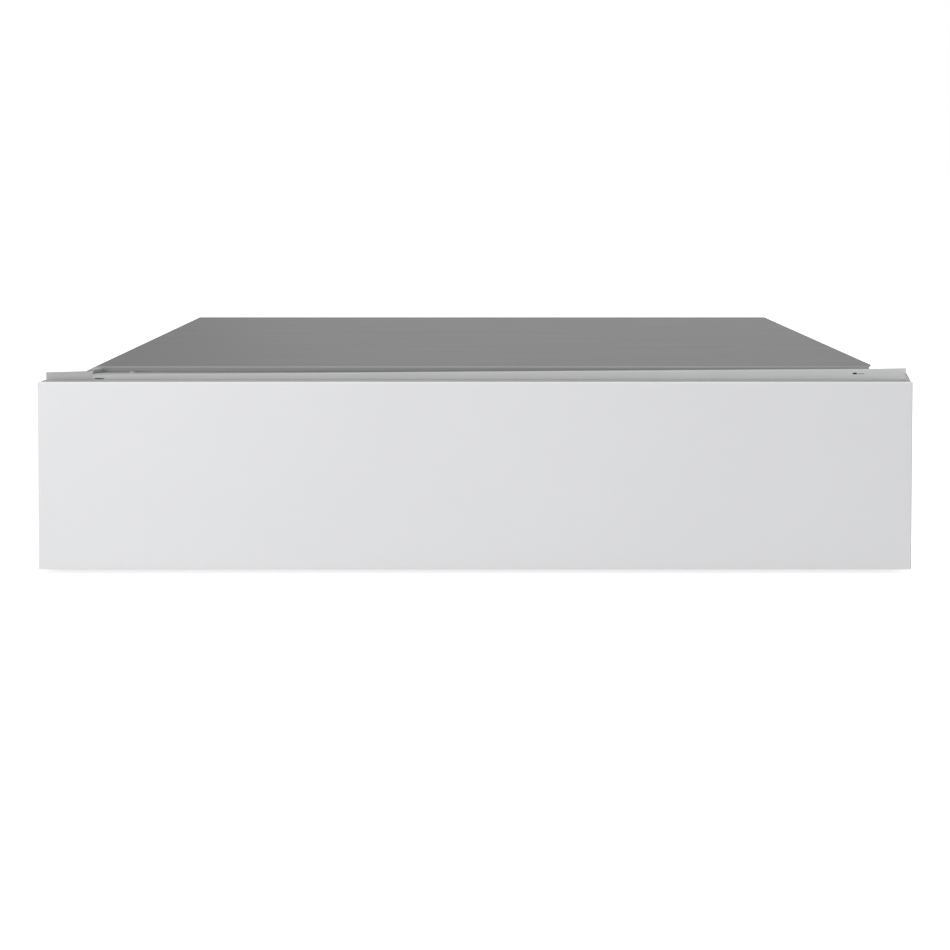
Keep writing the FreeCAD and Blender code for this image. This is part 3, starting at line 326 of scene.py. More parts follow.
def brushed_cover():
    """Even grey brushed sheet with faint long streaks along X.

    Its folded lips get painted light that makes them lighter than its flat top, the front lip also painted
    shade that darkens it towards the left, and the bend between them a painted highlight lighter still."""
    colour = (0.152, 0.153, 0.155)
    material, tree, shader = new_finish("brushed_cover", colour, 0.5, 0.6)
    fine = noise(tree, (9, 700, 700), 4.0)
    broad = noise(tree, (7, 34, 34), 3.0)
    value = node(tree, "Math", "MULTIPLY", _0=broad, _1=0.55)
    total = node(tree, "Math", "MULTIPLY_ADD", _0=fine, _1=0.45, _2=value.outputs[0]).outputs[0]
    flat = tinted(tree, shader, colour, spread(tree, total, 0.0, 1.0), 0.07)
    # painted shade along X: the front lip is darker at the left and lighter at the right
    painted_light_drift = spread(tree, coordinate(tree, "X"), 0.0, 0.85, -0.25, 0.20)
    shade = node(tree, "Math", "MULTIPLY_ADD", _0=total, _1=0.15, _2=painted_light_drift).outputs[0]
    front_lip_painted_shade = blended(tree, shade, (0.165, 0.166, 0.168), (0.335, 0.336, 0.338))
    # the lips take painted light and shade by the way they face, and the bend a painted highlight
    lips = blended(tree, facing(tree, "X", 0.5), front_lip_painted_shade, (0.23, 0.231, 0.233))
    lips_and_painted_bend_highlight = blended(tree, facing(tree, "Z", PAINTED_BEND_HIGHLIGHT), lips, (0.35, 0.351, 0.353))
    tone = blended(tree, facing(tree, "Z", FLAT_TOP), lips_and_painted_bend_highlight, flat)
    tree.links.new(tone, shader.inputs["Base Color"])
    tree.links.new(spread(tree, fine, 0.46, 0.56), shader.inputs["Roughness"])
    shader.inputs["Specular Tint"].default_value = (0.45, 0.45, 0.455, 1.0)
    bumped(tree, shader, fine, 0.00002, 0.6)
    return material


def light_sheet(name, left_shade, painted_upper_shade=None):
    """Matt zinc-coated sheet, softly clouded, with painted light that makes it a little lighter towards the
    right, as in the photograph.

    Faces that look up may get a painted shade of their own."""
    left_tone = (left_shade, left_shade + 0.003, left_shade + 0.01)
    right_tone = (0.68, 0.683, 0.69)
    half_width = 0.29
    material, tree, shader = new_finish(name, left_tone, 0.5, 0.15)
    marks = noise(tree, (30, 30, 520), 3.0)
    cloud = noise(tree, (22, 22, 30), 2.0)
    # painted light along X: the sheet is darker at the left and lighter towards the right
    painted_light_drift = spread(tree, coordinate(tree, "X"), 0.0, 0.9, -half_width, half_width)
    shade = node(tree, "Math", "ADD", _0=painted_light_drift, _1=spread(tree, cloud, 0.0, 0.1)).outputs[0]
    base = blended(tree, shade, left_tone, right_tone)
    # faces that look up get a painted shade
    if painted_upper_shade:
        base = blended(tree, facing(tree, "Z", 0.7), base, painted_upper_shade)
    tree.links.new(base, shader.inputs["Base Color"])
    tree.links.new(spread(tree, marks, 0.44, 0.56), shader.inputs["Roughness"])
    bumped(tree, shader, marks, 0.00002, 0.5)
    return material


def galvanised_sheet():
    """Hot-dip galvanised sheet: crystals a centimetre across, each with its own tone and gloss."""
    colour = (0.43, 0.44, 0.455)
    material, tree, shader = new_finish("galvanised_sheet", colour, 0.45, 0.85)
    spangle = cells(tree, 0.012)
    cloud = noise(tree, (60, 60, 60), 3.0)
    value = node(tree, "Math", "MULTIPLY", _0=spangle, _1=0.7).outputs[0]
    total = node(tree, "Math", "MULTIPLY_ADD", _0=cloud, _1=0.3, _2=value).outputs[0]
    tinted(tree, shader, colour, spread(tree, total, 0.0, 1.0, 0.1, 0.9), 0.14)
    tree.links.new(spread(tree, spangle, 0.34, 0.56, 0.0, 1.0), shader.inputs["Roughness"])
    bumped(tree, shader, total, 0.00003, 0.5)
    return material


def stainless(name, stretch, relief=0.00003, gloss=(0.2, 0.34)):
    """Stainless steel with its grain along the axis of the smallest stretch; gloss is its roughness range."""
    colour = (0.56, 0.555, 0.545)
    material, tree, shader = new_finish(name, colour, 0.3, 1.0)
    grain = noise(tree, stretch, 4.0, 0.6)
    cloud = noise(tree, (18, 18, 18), 2.0)
    tinted(tree, shader, colour, spread(tree, grain, 0.0, 1.0), 0.06)
    rough = node(tree, "Math", "ADD", _0=spread(tree, grain, *gloss), _1=spread(tree, cloud, 0.0, 0.06))
    tree.links.new(rough.outputs[0], shader.inputs["Roughness"])
    bumped(tree, shader, grain, relief, 0.5)
    return material


def runner_steel():
    """Zinc-plated strip of the runners, drawn along Y, with a faint blue cast."""
    colour = (0.52, 0.535, 0.56)
    material, tree, shader = new_finish("runner_steel", colour, 0.3, 1.0)
    drawn = noise(tree, (900, 6, 900), 3.0)
    cast = noise(tree, (40, 9, 40), 2.0)
    warm = blended(tree, spread(tree, cast, 0.0, 1.0), (0.50, 0.53, 0.58), (0.58, 0.57, 0.53))
    tree.links.new(warm, shader.inputs["Base Color"])
    tree.links.new(spread(tree, drawn, 0.22, 0.38), shader.inputs["Roughness"])
    bumped(tree, shader, drawn, 0.00002, 0.5)
    return material


# %% [markdown]
# ## Glass
# The front is clear glass with white paint on its back, so its face is white under a mirror gloss, while
# its ground edges let the dark green of thick glass show, and the small bevel between them carries a
# painted highlight. Masks on the surface's own direction tell the three apart. The lid is clear and has to
# let light into the chamber. A path tracer finds lamps badly through glass, so shadow rays pass the lid as
# through a tinted pane: a common and honest shortcut.

# %% White, black and clear glass


def white_glass():
    """White back-painted glass with greenish ground edges and a painted highlight on its bevel."""
    face = (0.765, 0.768, 0.780)
    material, tree, shader = new_finish("white_glass", face, 0.05)
    cloud = noise(tree, (5, 5, 9), 2.0)
    tone = blended(tree, spread(tree, cloud, 0.0, 1.0), (0.760, 0.763, 0.775), (0.770, 0.773, 0.785))
    on_face = facing(tree, "Y", 0.6)
    # the bevel gets a painted highlight, whiter than the painted face
    painted_arris_highlight = both(tree, facing(tree, "Y", 0.5), facing(tree, "Z", 0.5))
    painted = blended(tree, on_face, (0.40, 0.45, 0.43), tone)
    tree.links.new(blended(tree, painted_arris_highlight, painted, (0.93, 0.93, 0.93)), shader.inputs["Base Color"])
    smudge = noise(tree, (34, 34, 60), 4.0)
    polished = spread(tree, smudge, 0.03, 0.07)
    ground = node(tree, "Math", "MULTIPLY_ADD", _0=on_face, _1=-0.25, _2=0.25).outputs[0]
    tree.links.new(node(tree, "Math", "ADD", _0=polished, _1=ground).outputs[0], shader.inputs["Roughness"])
    shader.inputs["IOR"].default_value = 1.52
    return material


def black_glass():
    """Black touch glass with a trace of fingerprints."""
    colour = (0.008, 0.008, 0.009)
    material, tree, shader = new_finish("black_glass", colour, 0.05)
    smudge = noise(tree, (55, 70, 55), 5.0, 0.65)
    tinted(tree, shader, colour, spread(tree, smudge, 0.0, 1.0), 0.3)
    tree.links.new(spread(tree, smudge, 0.03, 0.13, 0.45, 0.75), shader.inputs["Roughness"])
    shader.inputs["IOR"].default_value = 1.52
    return material


def clear_glass():
    """Thick clear glass with ground edges; shadow rays pass it as a tinted pane."""
    tint = (0.90, 0.955, 0.935)
    material, tree, shader = new_finish("clear_glass", tint, 0.0)
    shader.inputs["Transmission Weight"].default_value = 1.0
    shader.inputs["IOR"].default_value = 1.5
    on_face = facing(tree, "Z", 0.9)
    frost = noise(tree, (900, 900, 900), 2.0)
    ground = spread(tree, frost, 0.25, 0.4)
    rough = node(tree, "Math", "SUBTRACT", _0=1.0, _1=on_face).outputs[0]
    tree.links.new(both(tree, rough, ground), shader.inputs["Roughness"])
    passing = node(tree, "BsdfTransparent", Color=(0.86, 0.91, 0.89, 1.0))
    path = tree.nodes.new("ShaderNodeLightPath")
    mix = tree.nodes.new("ShaderNodeMixShader")
    tree.links.new(path.outputs["Is Shadow Ray"], mix.inputs[0])
    tree.links.new(shader.outputs[0], mix.inputs[1])
    tree.links.new(passing.outputs[0], mix.inputs[2])
    tree.links.new(mix.outputs[0], tree.nodes["Material Output"].inputs["Surface"])
    return material


# %% [markdown]
# ## Rubber, silicone and plastic
# Moulded parts carry the texture of their tool: a fine even grain on the black plastic, a dull skin on the
# rubber, and straight extrusion lines on the silicone bar. Light goes a little way into silicone and hose,
# so those have a touch of subsurface scattering.

# %% Soft and moulded materials


def moulded(name, colour, rough_low, rough_high, grain=1500.0, depth=0.00002, subsurface=0.0, variation=0.12):
    """Moulded surface: fine tool grain, a slightly cloudy tone and gloss."""
    material, tree, shader = new_finish(name, colour, rough_low)
    fine = noise(tree, (grain, grain, grain), 2.0)
    cloud = noise(tree, (70, 70, 70), 3.0)
    tinted(tree, shader, colour, spread(tree, cloud, 0.0, 1.0), variation)
    tree.links.new(spread(tree, cloud, rough_low, rough_high), shader.inputs["Roughness"])
    bumped(tree, shader, fine, depth, 0.7)
    if subsurface:
        shader.inputs["Subsurface Weight"].default_value = subsurface
        shader.inputs["Subsurface Radius"].default_value = colour
        shader.inputs["Subsurface Scale"].default_value = 0.002
    return material


def silicone_red():
    """Extruded silicone bar: brick red, with straight fine lines along X."""
    colour = (0.36, 0.055, 0.03)
    material, tree, shader = new_finish("silicone_red", colour, 0.45)
    lines = noise(tree, (4, 1400, 1400), 2.0)
    tinted(tree, shader, colour, spread(tree, lines, 0.0, 1.0), 0.12)
    tree.links.new(spread(tree, lines, 0.38, 0.52), shader.inputs["Roughness"])
    bumped(tree, shader, lines, 0.00003, 0.6)
    shader.inputs["Subsurface Weight"].default_value = 0.08
    shader.inputs["Subsurface Scale"].default_value = 0.002
    return material


def weld_tape():
    """Brown glass-fibre tape: a fine square weave under a waxy skin."""
    material, tree, shader = new_finish("weld_tape", (0.30, 0.19, 0.09), 0.4)
    weave = None
    for axis in "XY":
        band = node(tree, "TexWave", Vector=place_of(tree), Scale=220.0)
        band.bands_direction = axis
        weave = band.outputs["Fac"] if weave is None else both(tree, weave, band.outputs["Fac"])
    tone = blended(tree, weave, (0.22, 0.13, 0.06), (0.40, 0.27, 0.14))
    tree.links.new(tone, shader.inputs["Base Color"])
    tree.links.new(spread(tree, weave, 0.32, 0.5, 0.0, 1.0), shader.inputs["Roughness"])
    bumped(tree, shader, weave, 0.00005, 0.6)
    return material


# %% [markdown]
# ## Machine parts
# Castings and painted castings are pebbly, and anodised parts are smooth and even. One function makes them
# all: its noise pattern's size and depth set how coarse and how deep the skin is. Small fasteners are
# bright zinc with a finer, shallower pattern.

# %% Castings, anodising, paint and fasteners


def pebbled(name, colour, metallic, rough_low, rough_high, grain, depth):
    """Cast or painted surface with a pebbly skin."""
    material, tree, shader = new_finish(name, colour, rough_low, metallic)
    skin = noise(tree, (grain, grain, grain), 4.0, 0.6)
    cloud = noise(tree, (45, 45, 45), 3.0)
    tinted(tree, shader, colour, spread(tree, cloud, 0.0, 1.0), 0.08)
    tree.links.new(spread(tree, skin, rough_low, rough_high), shader.inputs["Roughness"])
    bumped(tree, shader, skin, depth, 0.8)
    return material


def screw_steel():
    """Bright zinc on small fasteners, with turning marks too fine to see singly."""
    colour = (0.60, 0.605, 0.62)
    material, tree, shader = new_finish("screw_steel", colour, 0.22, 1.0)
    marks = noise(tree, (1600, 1600, 1600), 2.0)
    cloud = noise(tree, (220, 220, 220), 2.0)
    tinted(tree, shader, colour, spread(tree, cloud, 0.0, 1.0), 0.1)
    tree.links.new(spread(tree, marks, 0.16, 0.3), shader.inputs["Roughness"])
    bumped(tree, shader, marks, 0.00001, 0.5)
    return material


# %% [markdown]
# ## Pieces of several materials
# Some CAD nodes hold several materials in one solid or one node: balls in their cage, pins in the inlet, a
# coil on a valve block, a winding in its core, parts on a board. Splitting the solids would be one way. Masks
# on the object's own coordinates are simpler here, because the real materials meet at straight planes.

# %% Cages, inlet, valves, transformer and boards
BALL_RADIUS = 2.3 * MM
CAGE_STRIP_HALF = 0.45 * MM
INLET_PIN_FIELD = (11 * MM, 7 * MM)          # half width and half height around the pins
INLET_PIN_DEPTHS = (15.5 * MM, 3 * MM)       # from the inlet's face
VALVE_BLOCK_HEIGHT = 26 * MM
VALVE_COIL_TOP = 60.2 * MM
WINDING_OVERHANG = 12 * MM
POWER_BOARD_TOP = 12.8 * MM
POWER_BOARD_THICK = 1.9 * MM
HEAT_SINK_WIDTH = 36.5 * MM
CAPACITOR_ROW = 26 * MM
CONNECTOR_Z = (1.7 * MM, 1.05 * MM)          # above the board's underside and below its highest part
CONNECTOR_X = (28 * MM, 62 * MM)


def ball_cage_steel(node_name):
    """Polished balls in a satin cage strip; the mask is the height from the strip's own plane."""
    low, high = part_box(node_name)
    strips = (low.z + BALL_RADIUS, high.z - BALL_RADIUS)
    material, tree, shader = new_finish("cage_" + node_name, (0.6, 0.6, 0.61), 0.1, 1.0)
    on_strip = either(tree, *(between(tree, "Z", z - CAGE_STRIP_HALF, z + CAGE_STRIP_HALF) for z in strips))
    film = noise(tree, (160, 60, 160), 3.0)
    strip_tone = blended(tree, spread(tree, film, 0.0, 1.0), (0.36, 0.30, 0.16), (0.46, 0.40, 0.25))
    ball_tone = blended(tree, spread(tree, film, 0.0, 1.0), (0.62, 0.62, 0.62), (0.70, 0.70, 0.71))
    tree.links.new(blended(tree, on_strip, ball_tone, strip_tone), shader.inputs["Base Color"])
    dull = node(tree, "Math", "MULTIPLY_ADD", _0=on_strip, _1=0.22, _2=0.06).outputs[0]
    rough = node(tree, "Math", "ADD", _0=dull, _1=spread(tree, film, 0.0, 0.08)).outputs[0]
    tree.links.new(rough, shader.inputs["Roughness"])
    return material


def inlet_plastic():
    """Black inlet with bright pins; only the pins lie inside its socket."""
    low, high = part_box("mains_inlet")
    middle = (low + high) / 2
    material, tree, shader = new_finish("inlet_plastic", (0.02, 0.02, 0.02), 0.4)
    half_width, half_height = INLET_PIN_FIELD
    deepest, nearest = INLET_PIN_DEPTHS
    pins = between(tree, "X", middle.x - half_width, middle.x + half_width)
    pins = both(tree, pins, between(tree, "Z", middle.z - half_height, middle.z + half_height))
    pins = both(tree, pins, between(tree, "Y", high.y - deepest, high.y - nearest))
    grain = noise(tree, (1500, 1500, 1500), 2.0)
    plastic = blended(tree, spread(tree, grain, 0.0, 1.0), (0.018, 0.018, 0.019), (0.03, 0.03, 0.031))
    tree.links.new(blended(tree, pins, plastic, (0.62, 0.60, 0.56)), shader.inputs["Base Color"])
    tree.links.new(pins, shader.inputs["Metallic"])
    tree.links.new(node(tree, "Math", "MULTIPLY_ADD", _0=pins, _1=-0.2, _2=0.42).outputs[0],
                   shader.inputs["Roughness"])
    bumped(tree, shader, grain, 0.00002, 0.6)
    return material


def valve_materials():
    """Brass block below, black coil above it, steel nut on top."""
    low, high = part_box("solenoid_valves")
    block_top = low.z + VALVE_BLOCK_HEIGHT
    coil_top = low.z + VALVE_COIL_TOP
    material, tree, shader = new_finish("valve_materials", (0.03, 0.03, 0.032), 0.4)
    coil = between(tree, "Z", block_top, coil_top)
    nut = between(tree, "Z", coil_top, high.z + 1)
    skin = noise(tree, (500, 500, 500), 3.0)
    brass = blended(tree, spread(tree, skin, 0.0, 1.0), (0.50, 0.37, 0.17), (0.60, 0.45, 0.22))
    black = blended(tree, spread(tree, skin, 0.0, 1.0), (0.02, 0.02, 0.022), (0.035, 0.035, 0.037))
    tone = blended(tree, nut, blended(tree, coil, brass, black), (0.6, 0.6, 0.61))
    tree.links.new(tone, shader.inputs["Base Color"])
    tree.links.new(node(tree, "Math", "SUBTRACT", _0=1.0, _1=coil).outputs[0], shader.inputs["Metallic"])
    tree.links.new(spread(tree, skin, 0.28, 0.42), shader.inputs["Roughness"])
    bumped(tree, shader, skin, 0.00003, 0.5)
    return material


def transformer_materials():
    """Stacked dark laminations, and a winding wrapped in yellow tape where it stands out of the core."""
    low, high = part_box("sealing_transformer")
    material, tree, shader = new_finish("transformer_materials", (0.2, 0.2, 0.2), 0.45)
    core = between(tree, "Y", low.y + WINDING_OVERHANG, high.y - WINDING_OVERHANG)
    sheets = node(tree, "TexWave", Vector=place_of(tree), Scale=320.0)
    sheets.bands_direction = "Y"
    wrap = noise(tree, (240, 240, 30), 3.0)
    steel = blended(tree, sheets.outputs["Fac"], (0.06, 0.06, 0.065), (0.17, 0.17, 0.175))
    tape = blended(tree, spread(tree, wrap, 0.0, 1.0), (0.52, 0.33, 0.07), (0.66, 0.45, 0.13))
    tree.links.new(blended(tree, core, tape, steel), shader.inputs["Base Color"])
    tree.links.new(node(tree, "Math", "MULTIPLY", _0=core, _1=0.7).outputs[0], shader.inputs["Metallic"])
    tree.links.new(spread(tree, wrap, 0.32, 0.5), shader.inputs["Roughness"])
    bumped(tree, shader, both(tree, core, sheets.outputs["Fac"]), 0.00005, 0.5)
    return material


def copper_tracks(tree):
    """Solder mask over tracks: a soft grid of lines two millimetres apart."""
    tracks = None
    for axis in "XY":
        band = node(tree, "TexWave", Vector=place_of(tree), Scale=70.0, Distortion=1.5)
        band.bands_direction = axis
        line = spread(tree, band.outputs["Fac"], 0.0, 1.0, 0.8, 0.95)
        tracks = line if tracks is None else either(tree, tracks, line)
    return blended(tree, tracks, (0.008, 0.085, 0.035), (0.03, 0.19, 0.075))


def board_materials(node_name):
    """Green board; the parts on it are told apart by their height and place."""
    low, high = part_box(node_name)
    material, tree, shader = new_finish("board_" + node_name, (0.02, 0.12, 0.05), 0.35)
    green = copper_tracks(tree)
    if node_name == "power_board":
        board_top = low.z + POWER_BOARD_TOP
        parts = between(tree, "Z", board_top, high.z + 1)
        sink = both(tree, parts, between(tree, "X", high.x - HEAT_SINK_WIDTH, high.x))
        cans = both(tree, parts, between(tree, "Y", low.y, low.y + CAPACITOR_ROW))
        posts = between(tree, "Z", low.z - 1, board_top - POWER_BOARD_THICK)
        tone = blended(tree, parts, green, (0.025, 0.025, 0.027))
        tone = blended(tree, cans, tone, (0.02, 0.035, 0.10))
        tone = blended(tree, either(tree, sink, posts), tone, (0.58, 0.58, 0.59))
        tree.links.new(either(tree, sink, posts), shader.inputs["Metallic"])
    else:
        connector = both(tree, between(tree, "Z", low.z + CONNECTOR_Z[0], high.z - CONNECTOR_Z[1]),
                         between(tree, "X", low.x + CONNECTOR_X[0], low.x + CONNECTOR_X[1]))
        tone = blended(tree, connector, green, (0.62, 0.60, 0.54))
    tree.links.new(tone, shader.inputs["Base Color"])
    skin = noise(tree, (300, 300, 300), 3.0)
    tree.links.new(spread(tree, skin, 0.28, 0.42), shader.inputs["Roughness"])
    bumped(tree, shader, skin, 0.00002, 0.5)
    return material


# %% [markdown]
# ## Dress the CAD pieces
# Every node of the model is dressed by name, so a glance at this table says what the object is made of.
# Sheet that is brushed along X and sheet that is brushed along Y get different grain.

# %% Give each node its finish
LONG_X = (7, 800, 800)
LONG_Y = (800, 7, 800)
DRAWN_DOWN = (420, 420, 30)

steel_along_x = stainless("stainless_along_x", LONG_X)
steel_along_y = stainless("stainless_along_y", LONG_Y)
steel_drawn = stainless("stainless_drawn", DRAWN_DOWN, relief=0.000003, gloss=(0.33, 0.38))
# the left tones here, against the lighter right tone, paint shade from left to right, and the crossbar's and
# tray's tones for faces that look up are painted shade
zinc_sheet = light_sheet("light_sheet", 0.35)
crossbar_sheet = light_sheet("light_sheet_crossbar", 0.43, (0.42, 0.421, 0.423))
tray_sheet = light_sheet("light_sheet_tray", 0.43, (0.385, 0.386, 0.388))
spangled_sheet = galvanised_sheet()
zinc_strip = runner_steel()
bright_screws = screw_steel()
black_plastic = moulded("black_plastic", (0.022, 0.022, 0.023), 0.38, 0.5)
black_rubber = moulded("rubber_black", (0.014, 0.014, 0.014), 0.62, 0.8, 900.0, 0.00004, variation=0.3)
anodised = pebbled("anodised", (0.60, 0.60, 0.61), 1.0, 0.32, 0.42, 2200.0, 0.000008)
hose_skin = moulded("hose_blue", (0.05, 0.13, 0.34), 0.32, 0.45, 500.0, subsurface=0.15)

FINISHES = {
    "top_cover": brushed_cover(),
    "front_glass": white_glass(),
    "glue_seam": moulded("dark_seam", (0.09, 0.09, 0.092), 0.6, 0.75, 700.0, 0.00005),
    "glass_lid": clear_glass(),
    "control_panel": black_glass(),
    "chamber_seal": moulded("silicone_grey", (0.16, 0.165, 0.17), 0.42, 0.55, 1100.0, subsurface=0.05),
    "counter_bar": silicone_red(),
    "sealing_tape": weld_tape(),
    "mains_inlet": inlet_plastic(),
    "solenoid_valves": valve_materials(),
    "sealing_transformer": transformer_materials(),
    "power_board": board_materials("power_board"),
    "control_board": board_materials("control_board"),
    "pump_motor": pebbled("motor_paint", (0.045, 0.05, 0.056), 0.0, 0.3, 0.45, 420.0, 0.00006),
    "pump_head": pebbled("cast_aluminium", (0.45, 0.45, 0.46), 1.0, 0.38, 0.58, 700.0, 0.00012),
    "exhaust_filter": moulded("filter_plastic", (0.70, 0.69, 0.66), 0.4, 0.5),
    "vacuum_chamber": steel_drawn,
}
GROUPS = {
    zinc_sheet: ("left_side_wall", "right_side_wall"),
    crossbar_sheet: ("front_crossbar", "crossbar_rivets"),
    tray_sheet: ("front_tray",),
    spangled_sheet: ("base_pan", "rear_wall", "drawer_floor", "drawer_back"),
    steel_along_x: ("deck_plate", "rear_deck_cover", "left_hinge_bracket", "right_hinge_bracket",
                    "vacuum_port", "hinge_shaft", "pump_shaft"),
    steel_along_y: ("left_drawer_side", "right_drawer_side"),
    steel_drawn: ("lift_pins",),
    zinc_strip: tuple(f"{side}_{member}_rail" for side in ("left", "right")
                      for member in ("outer", "middle", "inner")),
    bright_screws: ("housing_screws", "deck_screws"),
    black_plastic: ("latch_housing", "latch_plunger", "port_cap", "cooling_impeller"),
    black_rubber: ("rubber_feet", "pump_mounts"),
    anodised: ("lift_cylinders", "sealing_bar", "left_hinge_arm", "right_hinge_arm"),
    hose_skin: ("suction_hose", "vent_hose"),
}
for finish, names in GROUPS.items():
    for name in names:
        FINISHES[name] = finish
for side in ("left", "right"):
    for row in ("outer", "inner"):
        name = f"{side}_{row}_ball_cage"
        FINISHES[name] = ball_cage_steel(name)


def dress(cad_object, finish):
    """Puts one finish in every material slot of a CAD object."""
    if not cad_object.material_slots:
        cad_object.data.materials.append(finish)
    for slot in cad_object.material_slots:
        slot.material = finish


for name, cad_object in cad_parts.items():
    dress(cad_object, FINISHES[name])
print(len(FINISHES), "nodes dressed")

# %% [markdown]
# ## Surfaces from arrays
# The added details are all worked out with numpy. Most are pads: a closed outline, a spine that it shrinks
# to, and a profile that says how high the pad is on the way from the spine to the outline and back under
# it. One formula then gives a round bumper, a pressed bead and a printed bar. Lines and rings are bands: a
# small rectangle carried along a path.

# %% Tools for surfaces


def merged_mesh(name, patches, smooth):
    """One mesh out of point grids; doubles are merged and the normals turned outward."""
    points = []
    quads = []
    start = 0
    for patch in patches:
        rows, columns = patch.shape[:2]
        index = start + np.arange(rows * columns).reshape(rows, columns)
        index = np.concatenate([index, index[:, :1]], axis=1)
        corners = (index[:-1, :-1], index[1:, :-1], index[1:, 1:], index[:-1, 1:])
        quads.append(np.stack(corners, axis=-1).reshape(-1, 4))
        points.append(patch.reshape(-1, 3))
        start += rows * columns
    mesh = bpy.data.meshes.new(name)
    mesh.from_pydata(np.concatenate(points).tolist(), [], np.concatenate(quads).tolist())
    shape = bmesh.new()
    shape.from_mesh(mesh)
    bmesh.ops.remove_doubles(shape, verts=shape.verts, dist=1e-6)
    bmesh.ops.recalc_face_normals(shape, faces=shape.faces)
    shape.to_mesh(mesh)
    shape.free()
    mesh.polygons.foreach_set("use_smooth", np.full(len(mesh.polygons), smooth))
    return mesh


def add_piece(name, patches, finish, body, smooth=False):
    """New piece with its place in its mesh, riding on a CAD body."""
    mesh = merged_mesh(name, patches, smooth)
    mesh.materials.append(finish)
    piece = bpy.data.objects.new(name, mesh)
    bpy.context.scene.collection.objects.link(piece)
    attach(piece, body)
    print(name, len(mesh.polygons), "faces")
    return piece


def rounded(length, width, radius, count=32):
    """Outline and spine of a rounded rectangle: corner centre + radius * (cos, sin), the spine along a."""
    turn = (np.arange(count) + 0.5) * 2 * np.pi / count
    direction = np.stack([np.cos(turn), np.sin(turn)], axis=1)
    outline = np.sign(direction) * (np.array([length, width]) / 2 - radius) + radius * direction
    reach = (length - width) / 2
    spine = np.stack([np.clip(outline[:, 0], -reach, reach), np.zeros(count)], axis=1)
    return outline, spine


def stadium(length, width, count=32):
    """Rounded rectangle whose ends are half circles."""
    return rounded(length, width, width / 2, count)


def pad(outline, spine, profile, centre, a_axis, b_axis):
    """Closed pad: point = centre + (spine + share * (outline - spine)) in the a-b plane + height * normal."""
    share = np.array([row[0] for row in profile])[:, None, None]
    height = np.array([row[1] for row in profile])[:, None]
    flat = spine + share * (outline - spine)
    a_axis = np.array(a_axis, float)
    b_axis = np.array(b_axis, float)
    normal = np.cross(a_axis, b_axis)
    return (np.array(centre) + flat[..., :1] * a_axis + flat[..., 1:] * b_axis
            + height[..., None] * normal)


def band(path, width, height, centre, a_axis, b_axis):
    """Raised line: a rectangle carried along a path of (a, b) points, its ends closed to a point."""
    path = np.array(path, float)
    along = np.gradient(path, axis=0)
    along /= np.linalg.norm(along, axis=1)[:, None]
    across = np.stack([-along[:, 1], along[:, 0]], axis=1) * width / 2
    corners = [(path - across, 0.0), (path + across, 0.0), (path + across, height), (path - across, height)]
    a_axis = np.array(a_axis, float)
    b_axis = np.array(b_axis, float)
    normal = np.cross(a_axis, b_axis)
    rings = np.stack([np.array(centre) + flat[:, :1] * a_axis + flat[:, 1:] * b_axis + rise * normal
                      for flat, rise in corners], axis=1)
    first = np.repeat(rings[:1].mean(axis=1, keepdims=True), 4, axis=1)
    last = np.repeat(rings[-1:].mean(axis=1, keepdims=True), 4, axis=1)
    return np.concatenate([first, rings, last])


def circle_path(radius, start_degrees, end_degrees, count=33, centre=(0.0, 0.0)):
    """Points on an arc, at angles measured from the a axis."""
    turn = np.radians(np.linspace(start_degrees, end_degrees, count))
    return np.stack([centre[0] + radius * np.cos(turn), centre[1] + radius * np.sin(turn)], axis=1)


def line_path(start, end, count=3):
    """Points on a straight line."""
    share = np.linspace(0, 1, count)[:, None]
    return np.array(start) * (1 - share) + np.array(end) * share


# %% [markdown]
# ## Pressed beads and spot welds on the walls
# Thin walls of such housings are stiffened by long pressed beads and are spot-welded to the pan, which
# leaves a row of small round marks. Both are real relief on the wall's outer face, not bump, so that they
# catch the light when the drawer is seen from the side.

# %% Press the beads and the weld marks
BEAD_DEPTH = 1.3 * MM
BEAD_PROFILE = [(0.0, BEAD_DEPTH), (0.45, BEAD_DEPTH), (0.55, 0.97 * BEAD_DEPTH),
                (0.68, 0.75 * BEAD_DEPTH), (0.8, 0.4 * BEAD_DEPTH), (0.9, 0.12 * BEAD_DEPTH),
                (1.0, 0.0), (1.0, -0.3 * MM), (0.0, -0.3 * MM)]
WELD_PROFILE = [(0.0, 0.03 * MM), (0.6, 0.04 * MM), (0.78, 0.14 * MM), (0.92, 0.12 * MM), (1.0, 0.0),
                (1.0, -0.2 * MM), (0.0, -0.2 * MM)]
BEAD_WIDTH = 11 * MM
BEAD_ROWS = (92.0 * MM, 112.0 * MM)
BEAD_SPANS = ((-222 * MM, -70 * MM), (-52 * MM, 92 * MM), (110 * MM, 252 * MM))
WELD_SIDE = 5.4 * MM
WELD_Z = 10.0 * MM
WELD_SPAN = (-228 * MM, 262 * MM)
WELD_PITCH = 46 * MM
COVER_SHEET = 1.0 * MM


def wall_face(side):
    """Outer x of a side wall: the cover's side lip lies on it, so it is one sheet inside the cover's box."""
    low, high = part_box("top_cover")
    return low.x + COVER_SHEET if side < 0 else high.x - COVER_SHEET


def wall_details(side):
    """Bead patches and weld patches of one wall; b runs up and a runs so that the normal points outward."""
    a_axis = (0.0, side, 0.0)
    b_axis = (0.0, 0.0, 1.0)
    x = wall_face(side)
    beads = []
    for z in BEAD_ROWS:
        for start, end in BEAD_SPANS:
            outline, spine = stadium(end - start, BEAD_WIDTH)
            beads.append(pad(outline, spine, BEAD_PROFILE, (x, (start + end) / 2, z), a_axis, b_axis))
    welds = []
    outline, spine = stadium(WELD_SIDE, WELD_SIDE, 24)
    for y in np.arange(*WELD_SPAN, WELD_PITCH):
        welds.append(pad(outline, spine, WELD_PROFILE, (x, y, WELD_Z), a_axis, b_axis))
    return beads, welds


